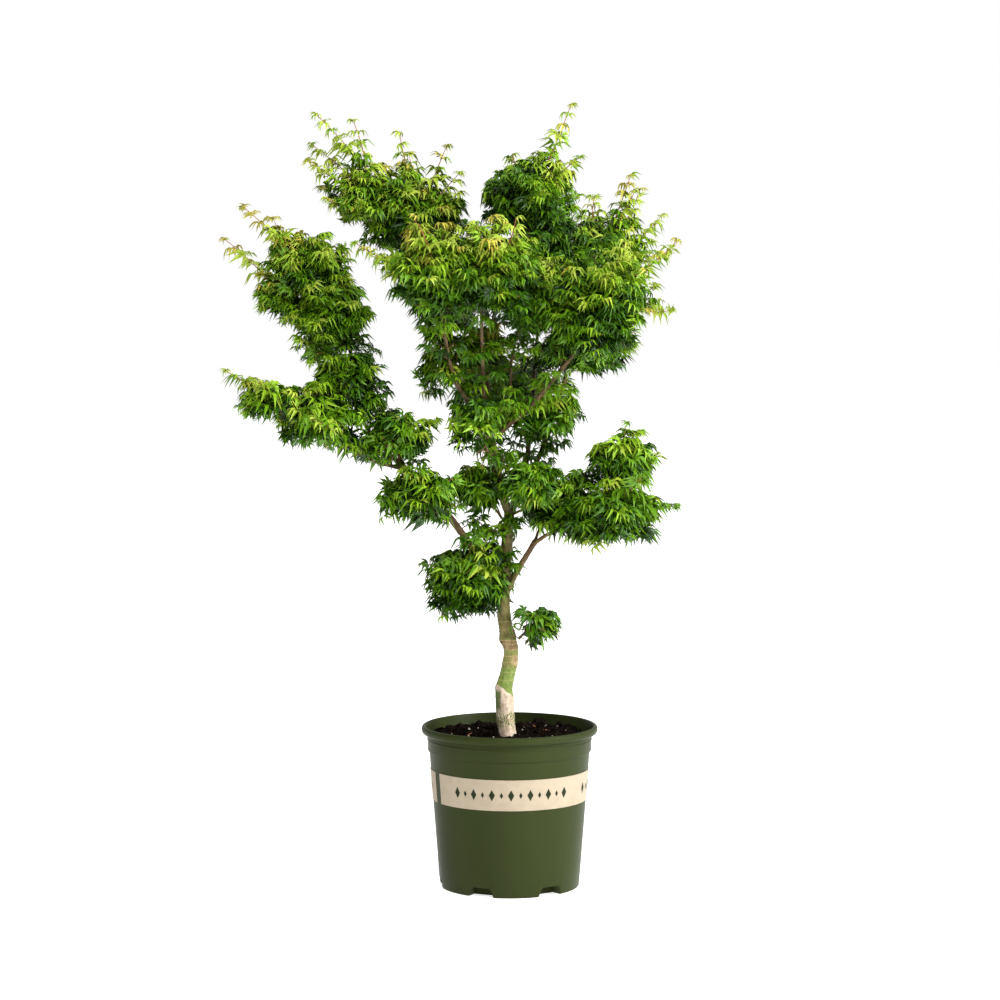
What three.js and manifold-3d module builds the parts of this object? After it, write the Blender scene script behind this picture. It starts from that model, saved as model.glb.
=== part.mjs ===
// A young Japanese maple, grafted low on its trunk, in a round nursery pot.
// Millimetres, +Z up, the origin at the middle of the pot's flat underside.
// The trunk and every bough is one tapering limb. Each mass of leaves is one closed body:
// twigs that branch from one stem by a seeded rule, with the leaves joined on.
import * as THREE from 'three'
import { mergeVertices } from 'three/addons/utils/BufferGeometryUtils.js'
import Module from 'manifold-3d'

const wasm = await Module()
wasm.setup()

const gap = 0.3 // clearance between neighbouring solids

// The pot: a round, slightly tapered can with a turned-over rim and feet between drain notches.
const pot = {
  height: 280,
  baseRadius: 120.5,
  shoulderRadius: 138.4, // the body's radius where the collar starts
  shoulder: 236, // height of the collar's foot
  collarRadius: 141,
  collarLine: 256, // the fine line round the collar
  rimFoot: 266.5,
  rimRadius: 152,
  wall: 3,
  floor: 4,
  footHeight: 17, // inner floor over the drain notches
  facets: 48,
}
const notch = { height: 13, width: 42, topWidth: 22, depth: 26, count: 6, first: -24.5 }

// The printed band round the pot: two strips with a narrow gap between their ends.
// Each strip spans an odd run of the pot's facets, and one facet is bare between the strips.
const band = { top: 206, bottom: 153, thickness: 0.6, facets: 23, starts: [-61.5, 118.5] }

const soil = { level: 258, trunkPad: 22, roughness: 4, tilt: [0.012, 0.022], rings: 3 }

// The trunk, from its flat cut on the soil to the fork: middle points with radii.
const trunkGirth = [
  [-2, 0, 258.3, 14.4], [-7, 0, 288, 15.8], [-8, 0, 323, 15.9], [-10, 0, 340, 14.6],
  [-4, 0, 366, 12.8], [1, 0, 388, 13.4], [3, 0, 410, 11.4], [1, 0, 427, 13.4],
  [-7, 0, 450, 12.2], [-10, 0, 478, 11.1], [-10, 0, 524, 10.6], [-6, 0, 572, 10], [-3, 0, 610, 9.1],
  [0, 0, 652, 8.4],
]

// The boughs: where each springs from, its radii at foot and tip, and its bends.
const boughs = {
  bough_left: {
    from: 'trunk', radii: [7.5, 4.6],
    path: [[-10, 0, 526], [-39, -10, 565], [-68, -18, 596], [-114, -37, 658], [-183, -55, 731]],
  },
  bough_left_outer: {
    from: 'bough_left', radii: [3.6, 2.4],
    path: [[-180, -54, 728], [-207, -61, 733], [-235, -68, 742], [-271, -76, 761], [-291, -83, 780]],
  },
  bough_left_middle: {
    from: 'bough_left', radii: [3.8, 2.4],
    path: [[-178, -54, 726], [-206, -44, 753], [-252, -32, 805], [-274, -22, 862]],
  },
  bough_left_upper: {
    from: 'bough_left', radii: [3.8, 2.6],
    path: [[-180, -54, 728], [-192, -41, 761], [-214, -24, 794], [-239, 0, 838], [-256, 12, 873],
      [-282, 24, 946]],
  },
  leader_left: {
    from: 'trunk', radii: [7.2, 6.8],
    path: [[-1, 0, 645], [-11, -7, 675], [-32, -26, 779]],
  },
  leader_right: {
    from: 'trunk', radii: [5.8, 3.4],
    path: [[2, 0, 645], [14, 17, 682], [34, 29, 709], [56, 46, 751], [84, 68, 829], [99, 76, 886]],
  },
  stem_left_front: {
    from: 'leader_left', radii: [4.6, 2.8],
    path: [[-30, -26, 774], [-52, -43, 812], [-93, -79, 878], [-106, -104, 938], [-114, -122, 994]],
  },
  stem_left_back: {
    from: 'leader_left', radii: [4.4, 2.6],
    path: [[-30, -22, 770], [-54, -10, 821], [-76, 5, 854], [-99, 24, 905], [-111, 46, 977],
      [-132, 63, 1062], [-147, 68, 1104]],
  },
  stem_centre_front: {
    from: 'leader_left', radii: [4.4, 2.8],
    path: [[-30, -27, 772], [-40, -44, 812], [-44, -63, 861], [-47, -88, 929], [-48, -107, 994]],
  },
  stem_centre_back: {
    from: 'leader_left', radii: [4.6, 2.8],
    path: [[-30, -20, 768], [-39, 0, 867], [-32, 12, 935], [-22, 20, 1012], [-1, 22, 1088],
      [13, 22, 1134]],
  },
  stem_right_front: {
    from: 'leader_left', radii: [4.8, 3.2],
    path: [[-30, -24, 772], [4, -39, 807], [34, -51, 831], [82, -73, 890], [110, -83, 926]],
  },
  stem_right_back: {
    from: 'leader_right', radii: [4.2, 2.8],
    path: [[25, 24, 697], [32, 59, 748], [37, 85, 803], [41, 105, 845], [46, 129, 923], [53, 144, 971]],
  },
  stem_centre_thin: {
    from: 'stem_right_front', radii: [2.6, 1.8],
    path: [[6, -40, 809], [2, -41, 856], [2, -41, 901], [7, -39, 931], [18, -34, 975]],
  },
  bough_right: { from: 'trunk', radii: [5.4, 4.2], path: [[-4, 0, 514], [13, -4, 547], [44, -18, 600]] },
  bough_right_outer: {
    from: 'bough_right', radii: [3.6, 2.6],
    path: [[42, -17, 596], [62, -29, 611], [94, -44, 628], [123, -54, 637]],
  },
  bough_right_inner: {
    from: 'bough_right', radii: [3.2, 2.4],
    path: [[42, -17, 595], [50, -7, 618], [63, 5, 633], [73, 12, 648]],
  },
  bough_right_upper: {
    from: 'bough_right_outer', radii: [2.6, 2],
    path: [[91, -43, 626], [125, -37, 648], [158, -30, 667], [180, -27, 685]],
  },
  stem_back_left: {
    from: 'stem_left_back', radii: [3.2, 2.2],
    path: [[-99, 24, 905], [-104, 85, 933], [-112, 146, 957], [-116, 183, 977]],
  },
  stem_back_low: {
    from: 'stem_right_back', radii: [2.8, 2],
    path: [[36, 73, 768], [18, 128, 780], [-8, 171, 791]],
  },
  twig_left_low: {
    from: 'bough_left', radii: [2.4, 1.8],
    path: [[-116, -37, 658], [-129, -54, 656], [-142, -71, 664]],
  },
  twig_left_inner: {
    from: 'bough_left_upper', radii: [2.2, 1.7],
    path: [[-199, -34, 773], [-186, -51, 777], [-178, -63, 782]],
  },
  twig_knob: {
    from: 'leader_left', radii: [2.6, 2],
    path: [[-32, -24, 776], [-43, -49, 782], [-54, -71, 790]],
  },
  twig_knob_right: {
    from: 'leader_right', radii: [2.2, 1.7],
    path: [[68, 56, 783], [80, 32, 791], [86, 17, 802]],
  },
  twig_collar: { from: 'trunk', radii: [2.6, 2], path: [[-1, 0, 642], [20, -17, 653], [36, -32, 661]] },
  twig_inner_left: {
    from: 'stem_left_front', radii: [2.2, 1.6],
    path: [[-91, -77, 875], [-106, -63, 886], [-118, -51, 898]],
  },
}

// The masses of leaves: the limb that carries each, how many leaves it holds, the rounded
// lobes of the space it fills (middle, then half-sizes) and the tips of its longest shoots.
// A mass on the trunk's side also says where its stem starts.
const masses = {
  foliage_upper_left: {
    on: 'bough_left_upper', leaves: 25,
    lobes: [[-311, 22, 1001, 86, 108, 86], [-378, 7, 1077, 72, 89, 65]],
    tips: [[-450, -12, 1168], [-482, 24, 1112]],
  },
  foliage_top_left: {
    on: 'stem_left_back', leaves: 24,
    lobes: [[-154, 71, 1172, 100, 99, 76], [-271, 59, 1203, 79, 73, 72]],
    tips: [[-322, 37, 1320], [-333, 76, 1272], [-189, 85, 1294], [-109, 55, 1269]],
  },
  foliage_centre_left: {
    on: 'stem_left_front', leaves: 16,
    lobes: [[-129, -128, 1064, 77, 92, 84]],
    tips: [[-255, -134, 1108], [-163, -146, 1149]],
  },
  foliage_centre: {
    on: 'stem_centre_front', leaves: 18,
    lobes: [[-23, -122, 1064, 77, 87, 91]],
    tips: [[-57, -128, 1134]],
  },
  foliage_top: {
    on: 'stem_centre_back', leaves: 22,
    lobes: [[31, 24, 1189, 86, 103, 86]],
    tips: [[104, 12, 1343]],
  },
  foliage_back_right: {
    on: 'stem_right_back', leaves: 20,
    lobes: [[74, 149, 1039, 70, 82, 84], [154, 159, 1114, 95, 92, 81]],
    tips: [[209, 134, 1221], [253, 146, 1159], [150, 73, 1174]],
  },
  foliage_right: {
    on: 'stem_right_front', leaves: 20,
    lobes: [[166, -88, 1014, 98, 99, 95]],
    tips: [[280, -73, 1113], [265, -98, 994]],
  },
  foliage_right_low: {
    on: 'leader_right', leaves: 10,
    lobes: [[143, 81, 931, 76, 73, 62]],
    tips: [],
  },
  foliage_mid_right: {
    on: 'stem_centre_thin', leaves: 8,
    lobes: [[62, -32, 1026, 51, 59, 78]],
    tips: [],
  },
  foliage_inner_left: {
    on: 'twig_inner_left', leaves: 8,
    lobes: [[-125, -41, 914, 48, 52, 75]],
    tips: [],
  },
  foliage_knob: {
    on: 'twig_knob', leaves: 8,
    lobes: [[-54, -90, 811, 51, 52, 57]],
    tips: [],
  },
  foliage_knob_right: {
    on: 'twig_knob_right', leaves: 8,
    lobes: [[90, 5, 820, 45, 52, 65]],
    tips: [],
  },
  foliage_collar: {
    on: 'twig_collar', leaves: 10,
    lobes: [[52, -54, 693, 61, 54, 51]],
    tips: [],
  },
  foliage_collar_left: {
    on: 'trunk', start: [-11, -2, 640], leaves: 8,
    lobes: [[-61, -15, 694, 51, 54, 55]],
    tips: [[-116, -12, 624]],
  },
  foliage_low_left: {
    on: 'trunk', start: [-19, -2, 560], leaves: 15,
    lobes: [[-75, -7, 528, 79, 80, 73]],
    tips: [],
  },
  foliage_left_low: {
    on: 'twig_left_low', leaves: 11,
    lobes: [[-169, -81, 682, 71, 66, 51]],
    tips: [],
  },
  foliage_left_tip: {
    on: 'bough_left_outer', leaves: 18,
    lobes: [[-334, -90, 811, 71, 78, 61], [-411, -98, 832, 61, 61, 47]],
    tips: [[-475, -98, 889]],
  },
  foliage_left_mid: {
    on: 'bough_left_middle', leaves: 10,
    lobes: [[-281, -24, 883, 72, 68, 48]],
    tips: [],
  },
  foliage_left_inner: {
    on: 'twig_left_inner', leaves: 10,
    lobes: [[-183, -68, 789, 68, 54, 54]],
    tips: [],
  },
  foliage_right_tip: {
    on: 'bough_right_outer', leaves: 16,
    lobes: [[194, -61, 653, 88, 78, 68]],
    tips: [[280, -61, 663]],
  },
  foliage_right_inner: {
    on: 'bough_right_inner', leaves: 10,
    lobes: [[90, 27, 662, 72, 59, 55]],
    tips: [],
  },
  foliage_right_upper: {
    on: 'bough_right_upper', leaves: 10,
    lobes: [[203, -20, 732, 65, 64, 58]],
    tips: [],
  },
  foliage_sprig: {
    on: 'trunk', start: [14, -2, 432], leaves: 5,
    lobes: [[57, -10, 456, 46, 35, 38]],
    tips: [],
  },
  foliage_back_left: {
    on: 'stem_back_left', leaves: 14,
    lobes: [[-112, 222, 1015, 72, 94, 88]],
    tips: [[-121, 312, 1071]],
  },
  foliage_back: {
    on: 'stem_back_low', leaves: 12,
    lobes: [[-16, 217, 846, 88, 85, 84]],
    tips: [[22, 306, 882]],
  },
}

// Leaves, as shares of their length, and the wood inside a mass.
const leaf = {
  longest: 84,
  share: 0.9, // its length for the mean reach of its lobe, in a small lobe
  width: 0.66, // for its length, as are the next two
  widestAt: 0.45,
  droop: 0.16,
  thickness: 2.4,
  hang: 0.9, // how steeply it hangs from its twig
  ahead: 0.45, // how far it points along the twig, and how far out to the side
  aside: 0.75,
  rooted: 4, // how far from its twig's middle it may touch nothing else
  tries: [1.05, 0.95, 0.95, 0.85, 0.85, 0.75, 0.65], // sizes tried, until one finds room
}
const twig = {
  stemRadius: 3.2, // the stem of a mass, and the ways from it to the mass's other lobes
  wayRadius: 2.6,
  radius: 0.95,
  tipRadius: 0.85,
  springs: [0.3, 0.95], // the run of a way that twigs spring from
  ends: [0.55, 0.85], // how far out in its lobe a twig ends
  lift: 0.15, // how much higher it ends, for the lobe's height
  pairs: [0.5, 0.86], // where its two pairs of leaves sit, below the one at its tip
  fewest: 3, // leaves, or the twig is left out
}
const shoot = { leafScale: 0.55, hang: 0.4, pairs: [0.62, 0.86] } // the bare shoots past a mass
const reach = { stem: 16, shoot: 34 } // half-widths of the space round a stem and a long shoot
const firstSeed = 311 // each mass has its own seed, counted on from here
const margin = 0.04 // how much deeper in its own space a point lies than in any other

const vec = (p) => new THREE.Vector3(p[0], p[1], p[2])
const up = new THREE.Vector3(0, 0, 1)

// A repeatable stream of numbers from 0 to 1.
function seeded(seed) {
  let state = seed >>> 0
  return () => {
    state = (state + 0x6d2b79f5) >>> 0
    let t = state
    t = Math.imul(t ^ (t >>> 15), t | 1)
    t ^= t + Math.imul(t ^ (t >>> 7), t | 61)
    return ((t ^ (t >>> 14)) >>> 0) / 4294967296
  }
}

// ---- closed meshes ----

// A closed skin over rings of points, capped at both ends, or joined end to end.
function loft(rings, closed = false) {
  const n = rings[0].length
  const positions = rings.flat().flatMap((p) => [p.x, p.y, p.z])
  const index = []
  const spans = closed ? rings.length : rings.length - 1
  for (let i = 0; i < spans; i++) {
    const a = i * n
    const b = ((i + 1) % rings.length) * n
    for (let j = 0; j < n; j++) {
      const k = (j + 1) % n
      index.push(a + j, a + k, b + k, a + j, b + k, b + j)
    }
  }
  if (!closed) {
    const last = (rings.length - 1) * n
    for (let j = 1; j < n - 1; j++) {
      index.push(0, j + 1, j)
      index.push(last, last + j, last + j + 1)
    }
  }
  const geometry = new THREE.BufferGeometry()
  geometry.setAttribute('position', new THREE.Float32BufferAttribute(positions, 3))
  geometry.setIndex(index)
  return geometry
}

// Rings along a curve, each square to it and turned as little as possible from the last.
function ringsAlong(curve, stations, radiusAt, sides) {
  const rings = []
  let across = new THREE.Vector3(1, 0, 0)
  for (let i = 0; i <= stations; i++) {
    const t = i / stations
    const tangent = curve.getTangent(t)
    across = across.clone().addScaledVector(tangent, -across.dot(tangent)).normalize()
    const side = tangent.clone().cross(across)
    const middle = curve.getPoint(t)
    const ring = []
    for (let j = 0; j < sides; j++) {
      const angle = (2 * Math.PI * j) / sides
      ring.push(middle.clone()
        .addScaledVector(across, Math.cos(angle) * radiusAt(t))
        .addScaledVector(side, Math.sin(angle) * radiusAt(t)))
    }
    rings.push(ring)
  }
  return rings
}

function toSolid(geometry) {
  const vertProperties = Float32Array.from(geometry.getAttribute('position').array)
  const triVerts = Uint32Array.from(geometry.index.array)
  return new wasm.Manifold(new wasm.Mesh({ numProp: 3, vertProperties, triVerts }))
}

function toGeometry(solid) {
  const mesh = solid.getMesh()
  const geometry = new THREE.BufferGeometry()
  geometry.setAttribute('position', new THREE.BufferAttribute(mesh.vertProperties, 3))
  geometry.setIndex(new THREE.BufferAttribute(mesh.triVerts, 1))
  return geometry
}

// Shared corners merged, and the triangles that this leaves with no area taken out.
function welded(geometry) {
  geometry.deleteAttribute('normal')
  geometry.deleteAttribute('uv')
  const merged = mergeVertices(geometry, 1e-3)
  const index = Array.from(merged.index.array)
  const kept = []
  for (let i = 0; i < index.length; i += 3) {
    const [a, b, c] = index.slice(i, i + 3)
    if (a !== b && b !== c && c !== a) kept.push(a, b, c)
  }
  merged.setIndex(kept)
  return merged
}

// The largest piece of a solid: loose scraps and the walls of sealed hollows are left out.
function largestPiece(solid) {
  return solid.decompose().reduce((best, piece) => (piece.volume() > best.volume() ? piece : best))
}

// ---- pot, band and soil ----

const bodyRadiusAt = (z) => pot.baseRadius + ((pot.shoulderRadius - pot.baseRadius) * z) / pot.shoulder
const innerRadiusAt = (z) => bodyRadiusAt(z) - pot.wall

// The inside of the pot from its collar down to the middle of its floor, drawn in by a clearance.
function innerProfile(clearance) {
  const { shoulder, footHeight, floor } = pot
  return [
    [innerRadiusAt(shoulder) - clearance, shoulder],
    [innerRadiusAt(footHeight + 6) - clearance, footHeight + 6],
    [innerRadiusAt(footHeight) - 6 - clearance, footHeight + clearance],
    [pot.baseRadius - notch.depth - 6 - clearance, footHeight + clearance],
    [pot.baseRadius - notch.depth - 14 - clearance, floor + clearance],
    [0, floor + clearance],
  ]
}

function potProfile() {
  const { height, baseRadius, shoulder, shoulderRadius, collarRadius, collarLine } = pot
  const { rimFoot, rimRadius } = pot
  return [
    [0, 0], [baseRadius - 3, 0], [bodyRadiusAt(5), 5],
    [shoulderRadius, shoulder], [collarRadius, shoulder + 1.5],
    [collarRadius, collarLine - 0.8], [collarRadius + 1.3, collarLine],
    [collarRadius + 1.6, rimFoot], [rimRadius - 0.8, rimFoot + 1], [rimRadius, height - 5],
    [rimRadius - 1.4, height - 1.2], [rimRadius - 4, height], [rimRadius - 7.4, height - 2],
    ...innerProfile(0),
  ]
}

// A turned shape: its profile, from the axis round to the axis, spun about Z.
function turned(profile, facets) {
  const outline = profile.map(([r, z]) => new THREE.Vector2(r, z))
  const geometry = new THREE.LatheGeometry(outline, facets, THREE.MathUtils.degToRad(band.starts[0]))
  geometry.rotateX(Math.PI / 2)
  return welded(geometry)
}

// One drain notch: a low arch, pushed in from the pot's edge at an angle from the front.
function notchSolid(angle) {
  const shape = new THREE.Shape()
  shape.moveTo(-notch.width / 2, -1)
  shape.lineTo(notch.width / 2, -1)
  shape.quadraticCurveTo(notch.topWidth / 2 + 4, notch.height, notch.topWidth / 2, notch.height)
  shape.lineTo(-notch.topWidth / 2, notch.height)
  shape.quadraticCurveTo(-notch.topWidth / 2 - 4, notch.height, -notch.width / 2, -1)
  const options = { depth: notch.depth + 10, bevelEnabled: false, curveSegments: 4 }
  const geometry = new THREE.ExtrudeGeometry(shape, options)
  geometry.rotateX(Math.PI / 2)
  geometry.translate(0, -(pot.baseRadius - notch.depth), 0)
  geometry.rotateZ(THREE.MathUtils.degToRad(angle))
  return toSolid(welded(geometry))
}

function potGeometry() {
  let solid = toSolid(turned(potProfile(), pot.facets))
  for (let i = 0; i < notch.count; i++) {
    solid = solid.subtract(notchSolid(notch.first + (360 * i) / notch.count))
  }
  return toGeometry(solid)
}

// A strip of the band: four-cornered sections round the pot, just clear of its wall.
function bandGeometry(start) {
  const rings = []
  for (let i = 0; i <= band.facets; i++) {
    const angle = THREE.MathUtils.degToRad(start + (360 * i) / pot.facets)
    const corner = (z, out) => {
      const r = bodyRadiusAt(z) + gap + out
      return new THREE.Vector3(r * Math.sin(angle), -r * Math.cos(angle), z)
    }
    const { bottom, top, thickness } = band
    rings.push([corner(bottom, 0), corner(top, 0), corner(top, thickness), corner(bottom, thickness)])
  }
  return loft(rings)
}

// The potting mix: it fills the pot, with a rough top that is level only round the trunk.
function soilGeometry() {
  const { level, trunkPad, rings } = soil
  const edge = innerRadiusAt(pot.shoulder) - gap
  const profile = innerProfile(gap).reverse()
  profile.push([edge, level - 12], [edge, level])
  for (let i = 1; i <= rings; i++) profile.push([edge + ((trunkPad - edge) * i) / rings, level])
  profile.push([0, level])
  const geometry = turned(profile, pot.facets / 2)
  const random = seeded(71)
  const position = geometry.getAttribute('position')
  for (let i = 0; i < position.count; i++) {
    const [x, y, z] = [position.getX(i), position.getY(i), position.getZ(i)]
    const lift = soil.tilt[0] * x + soil.tilt[1] * y + soil.roughness * (random() - 0.4)
    if (z > level - 1 && Math.hypot(x, y) > trunkPad + 1) position.setZ(i, z + lift)
  }
  return geometry
}

// ---- limbs ----

const step = 41 // spacing of the rings along a limb

// One tapering limb through its bends, grown by a clearance for cutting its neighbours.
function limbRings({ path, radii, sides = radii[0] > 5 ? 8 : radii[0] > 3.4 ? 6 : 5 }, grow = 0) {
  const curve = new THREE.CatmullRomCurve3(path.map(vec))
  const girths = radii.length === path.length ? radii : [radii[0], radii.at(-1)]
  const radiusAt = (t) => {
    const place = Math.min(t * (girths.length - 1), girths.length - 1 - 1e-9)
    const i = Math.floor(place)
    return THREE.MathUtils.lerp(girths[i], girths[i + 1], place - i) + grow
  }
  const stations = Math.max(3, Math.round(curve.getLength() / step))
  const rings = ringsAlong(curve, radii.length > 2 ? 2 * (radii.length - 1) : stations, radiusAt, sides)
  if (grow > 0) {
    const foot = curve.getTangent(0).multiplyScalar(-grow)
    const tip = curve.getTangent(1).multiplyScalar(grow)
    rings[0].forEach((p) => p.add(foot))
    rings.at(-1).forEach((p) => p.add(tip))
  }
  return rings
}

function trunkSpec() {
  return { path: trunkGirth.map((p) => p.slice(0, 3)), radii: trunkGirth.map((p) => p[3]), sides: 10 }
}

// The trunk's cut foot is level.
function trunkSolid(grow = 0) {
  const rings = limbRings(trunkSpec(), grow)
  rings[0].forEach((p) => { p.z = trunkGirth[0][2] - grow })
  return toSolid(loft(rings))
}

// Every limb, each cut clear of those before it, and a slightly larger copy of them all.
function growLimbs() {
  const limbs = { trunk: trunkSolid() }
  let guard = trunkSolid(gap)
  for (const [name, spec] of Object.entries(boughs)) {
    limbs[name] = largestPiece(toSolid(loft(limbRings(spec))).subtract(guard))
    guard = guard.add(toSolid(loft(limbRings(spec, gap))))
  }
  return { limbs, guard }
}

// ---- leaves ----

const leafFaces = [0, 1, 2, 0, 2, 3, 0, 3, 1, 1, 3, 2] // corners by threes

// A leaf as a thin kite folded along its midrib: its root on the twig's middle, one side, its
// drooping tip, the other side.
function leafPoints(root, heading, length) {
  const side = heading.clone().cross(up).normalize()
  const face = side.clone().cross(heading)
  const at = (along, across, rise) => root.clone().addScaledVector(heading, along * length)
    .addScaledVector(side, across * length).addScaledVector(face, rise)
  const fold = -leaf.droop * leaf.widestAt * length - leaf.thickness
  const half = leaf.width / 2
  const tip = at(0.97, 0, -leaf.droop * length)
  return [root, at(leaf.widestAt, half, fold), tip, at(leaf.widestAt, -half, fold)]
}

function leafSolid(points) {
  const geometry = new THREE.BufferGeometry().setFromPoints(points)
  geometry.setIndex(leafFaces)
  return toSolid(geometry)
}

// A thin stem or twig through its points, with the curve that its leaves follow.
function twigAlong(points, radii, spans, sides) {
  const curve = new THREE.CatmullRomCurve3(points)
  const radiusAt = (t) => THREE.MathUtils.lerp(radii[0], radii[1], t)
  return { curve, solid: toSolid(loft(ringsAlong(curve, spans, radiusAt, sides))) }
}

// ---- masses of leaves ----

// Where a mass's stem starts and which way it sets out.
function stemFoot(spec) {
  const middle = vec(spec.lobes[0])
  if (spec.start) {
    const foot = vec(spec.start)
    return { foot, heading: middle.sub(foot).normalize() }
  }
  const curve = new THREE.CatmullRomCurve3(boughs[spec.on].path.map(vec))
  const heading = curve.getTangent(1)
  return { foot: curve.getPoint(1).addScaledVector(heading, gap + 0.05), heading }
}

// The stretches that a mass keeps besides its lobes: its stem, the way to each lobe, its shoots.
function stretches(spec) {
  const middles = spec.lobes.map(vec)
  const list = [{ a: stemFoot(spec).foot, b: middles[0], width: reach.stem }]
  middles.slice(1).forEach((b) => list.push({ a: middles[0], b, width: reach.stem }))
  spec.tips.map(vec).forEach((b) => {
    const a = middles.reduce((near, m) => (m.distanceTo(b) < near.distanceTo(b) ? m : near))
    list.push({ a, b, width: reach.shoot, shoot: true })
  })
  return list
}

// How deep a point lies in a mass's space: 0 in its heart, 1 at its edge.
function depthIn({ lobes, kept }, p) {
  const inLobe = ([x, y, z, a, b, c]) => Math.hypot((p.x - x) / a, (p.y - y) / b, (p.z - z) / c)
  const nearest = new THREE.Vector3()
  const inStretch = ({ a, b, width }) => {
    new THREE.Line3(a, b).closestPointToPoint(p, true, nearest)
    return nearest.distanceTo(p) / width
  }
  return Math.min(...lobes.map(inLobe), ...kept.map(inStretch))
}

const spaces = Object.values(masses).map((spec) => Object.assign(spec, { kept: stretches(spec) }))

function owns(spec, p) {
  const own = depthIn(spec, p)
  return own <= 1 && spaces.every((other) => other === spec || depthIn(other, p) > own + margin)
}

// Directions that fill a sphere evenly, however many are drawn.
const plastic = 1.3247179572447458
function direction(i) {
  const z = 1 - 2 * ((0.5 + i / plastic) % 1)
  const angle = 2 * Math.PI * ((0.5 + i / plastic ** 2) % 1)
  const r = Math.sqrt(1 - z * z)
  return new THREE.Vector3(r * Math.cos(angle), r * Math.sin(angle), z)
}

const between = ([low, high], t) => THREE.MathUtils.lerp(low, high, t)
const isClear = (mass, solid) => solid.intersect(mass.guard).isEmpty()

// The stem of a mass and the ways that lead on from it to each other lobe.
function addWays(mass) {
  const { foot, heading } = stemFoot(mass.spec)
  const [first, ...others] = mass.spec.lobes.map(vec)
  const lead = foot.clone().addScaledVector(heading, 0.45 * foot.distanceTo(first))
  const ways = [twigAlong([foot, lead, first], [twig.stemRadius, twig.wayRadius], 2, 4)]
  others.forEach((middle) => {
    ways.push(twigAlong([first, middle], [twig.wayRadius, 0.8 * twig.wayRadius], 1, 4))
  })
  const solids = ways.map(({ solid }) => solid.subtract(mass.guard))
  mass.body = solids.reduce((body, solid) => body.add(solid))
  return ways.map(({ curve }) => curve)
}

// A twig is kept where it stays in the mass's own space and clear of every limb.
function addTwig(mass, start, end) {
  const { curve, solid } = twigAlong([start, end], [twig.radius, twig.tipRadius], 1, 3)
  if (!curve.getPoints(6).every((p) => owns(mass.spec, p)) || !isClear(mass, solid)) return null
  mass.body = mass.body.add(solid)
  return curve
}

// A leaf is tried at falling sizes, and kept where it crosses nothing beyond its own root.
function addLeaf(mass, root, aim, length) {
  for (const scale of leaf.tries) {
    const heading = aim()
    const points = leafPoints(root, heading, length * scale)
    if (!points.slice(1).every((p) => owns(mass.spec, p))) continue
    const blade = leafSolid([root.clone().addScaledVector(heading, leaf.rooted), ...points.slice(1)])
    if (!isClear(mass, blade) || !blade.intersect(mass.body).isEmpty()) continue
    mass.body = mass.body.add(leafSolid(points))
    return 1
  }
  return 0
}

// Two pairs of leaves along a twig and one at its tip, all hanging.
function addLeaves(mass, curve, pairs, length, hang) {
  const { random } = mass
  const along = curve.getTangent(1)
  const ahead = along.clone().setZ(0.2 * along.z).normalize()
  const across = ahead.clone().cross(up).normalize()
  const places = [...pairs.flatMap((t) => [[t, 1], [t, -1]]), [0.98, 0]]
  return places.reduce((count, [t, hand]) => {
    const aim = () => {
      const aside = across.clone().applyAxisAngle(ahead, 0.8 * (random() - 0.5))
      return ahead.clone().multiplyScalar(leaf.ahead * (0.5 + random()))
        .addScaledVector(aside, leaf.aside * hand)
        .addScaledVector(up, -hang * (0.6 + 0.8 * random())).normalize()
    }
    return count + addLeaf(mass, curve.getPoint(t), aim, length)
  }, 0)
}

// Twigs that fan out from a way through its lobe, until the lobe has its share of the leaves.
function fillLobe(mass, way, [x, y, z, a, b, c], share) {
  const { random } = mass
  const length = Math.min(leaf.longest, (leaf.share * (a + b + c)) / 3)
  for (let i = 0, placed = 0; placed < share && i < 4 * share; i++) {
    const start = way.getPoint(between(twig.springs, random()))
    const end = direction(i).multiply(vec([a, b, c])).multiplyScalar(between(twig.ends, random()))
      .add(vec([x, y, z + twig.lift * c]))
    const before = mass.body
    const curve = addTwig(mass, start, end)
    const count = curve ? addLeaves(mass, curve, twig.pairs, length, leaf.hang) : 0
    if (count < twig.fewest) mass.body = before
    else placed += count
  }
}

function growMass(spec, seed, guard) {
  const mass = { spec, guard, random: seeded(seed) }
  const ways = addWays(mass)
  spec.kept.filter((stretch) => stretch.shoot).forEach(({ a, b }) => {
    const curve = addTwig(mass, a, b)
    if (curve) addLeaves(mass, curve, shoot.pairs, leaf.longest * shoot.leafScale, shoot.hang)
  })
  const extents = spec.lobes.map(([, , , a, b, c]) => a * b + b * c + c * a)
  const whole = extents.reduce((sum, extent) => sum + extent)
  spec.lobes.forEach((lobe, k) => fillLobe(mass, ways[k], lobe, (spec.leaves * extents[k]) / whole))
  return largestPiece(mass.body)
}

// ---- the plant and its pot ----

const finishes = {
  olivePlastic: { color: 0x4d5636, roughness: 0.5, metalness: 0 },
  paleBand: { color: 0xcfc0a6, roughness: 0.7, metalness: 0 },
  pottingMix: { color: 0x2a211b, roughness: 1, metalness: 0 },
  bark: { color: 0x8d8566, roughness: 0.8, metalness: 0 },
  youngWood: { color: 0x6f6a45, roughness: 0.75, metalness: 0 },
  leafGreen: { color: 0x3f7a1c, roughness: 0.55, metalness: 0 },
}

const plant = new THREE.Group()

function place(name, geometry, finish) {
  const mesh = new THREE.Mesh(geometry, new THREE.MeshStandardMaterial(finishes[finish]))
  mesh.name = name
  plant.add(mesh)
}

place('pot', potGeometry(), 'olivePlastic')
place('band_front', bandGeometry(band.starts[0]), 'paleBand')
place('band_back', bandGeometry(band.starts[1]), 'paleBand')
place('soil', soilGeometry(), 'pottingMix')

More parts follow.
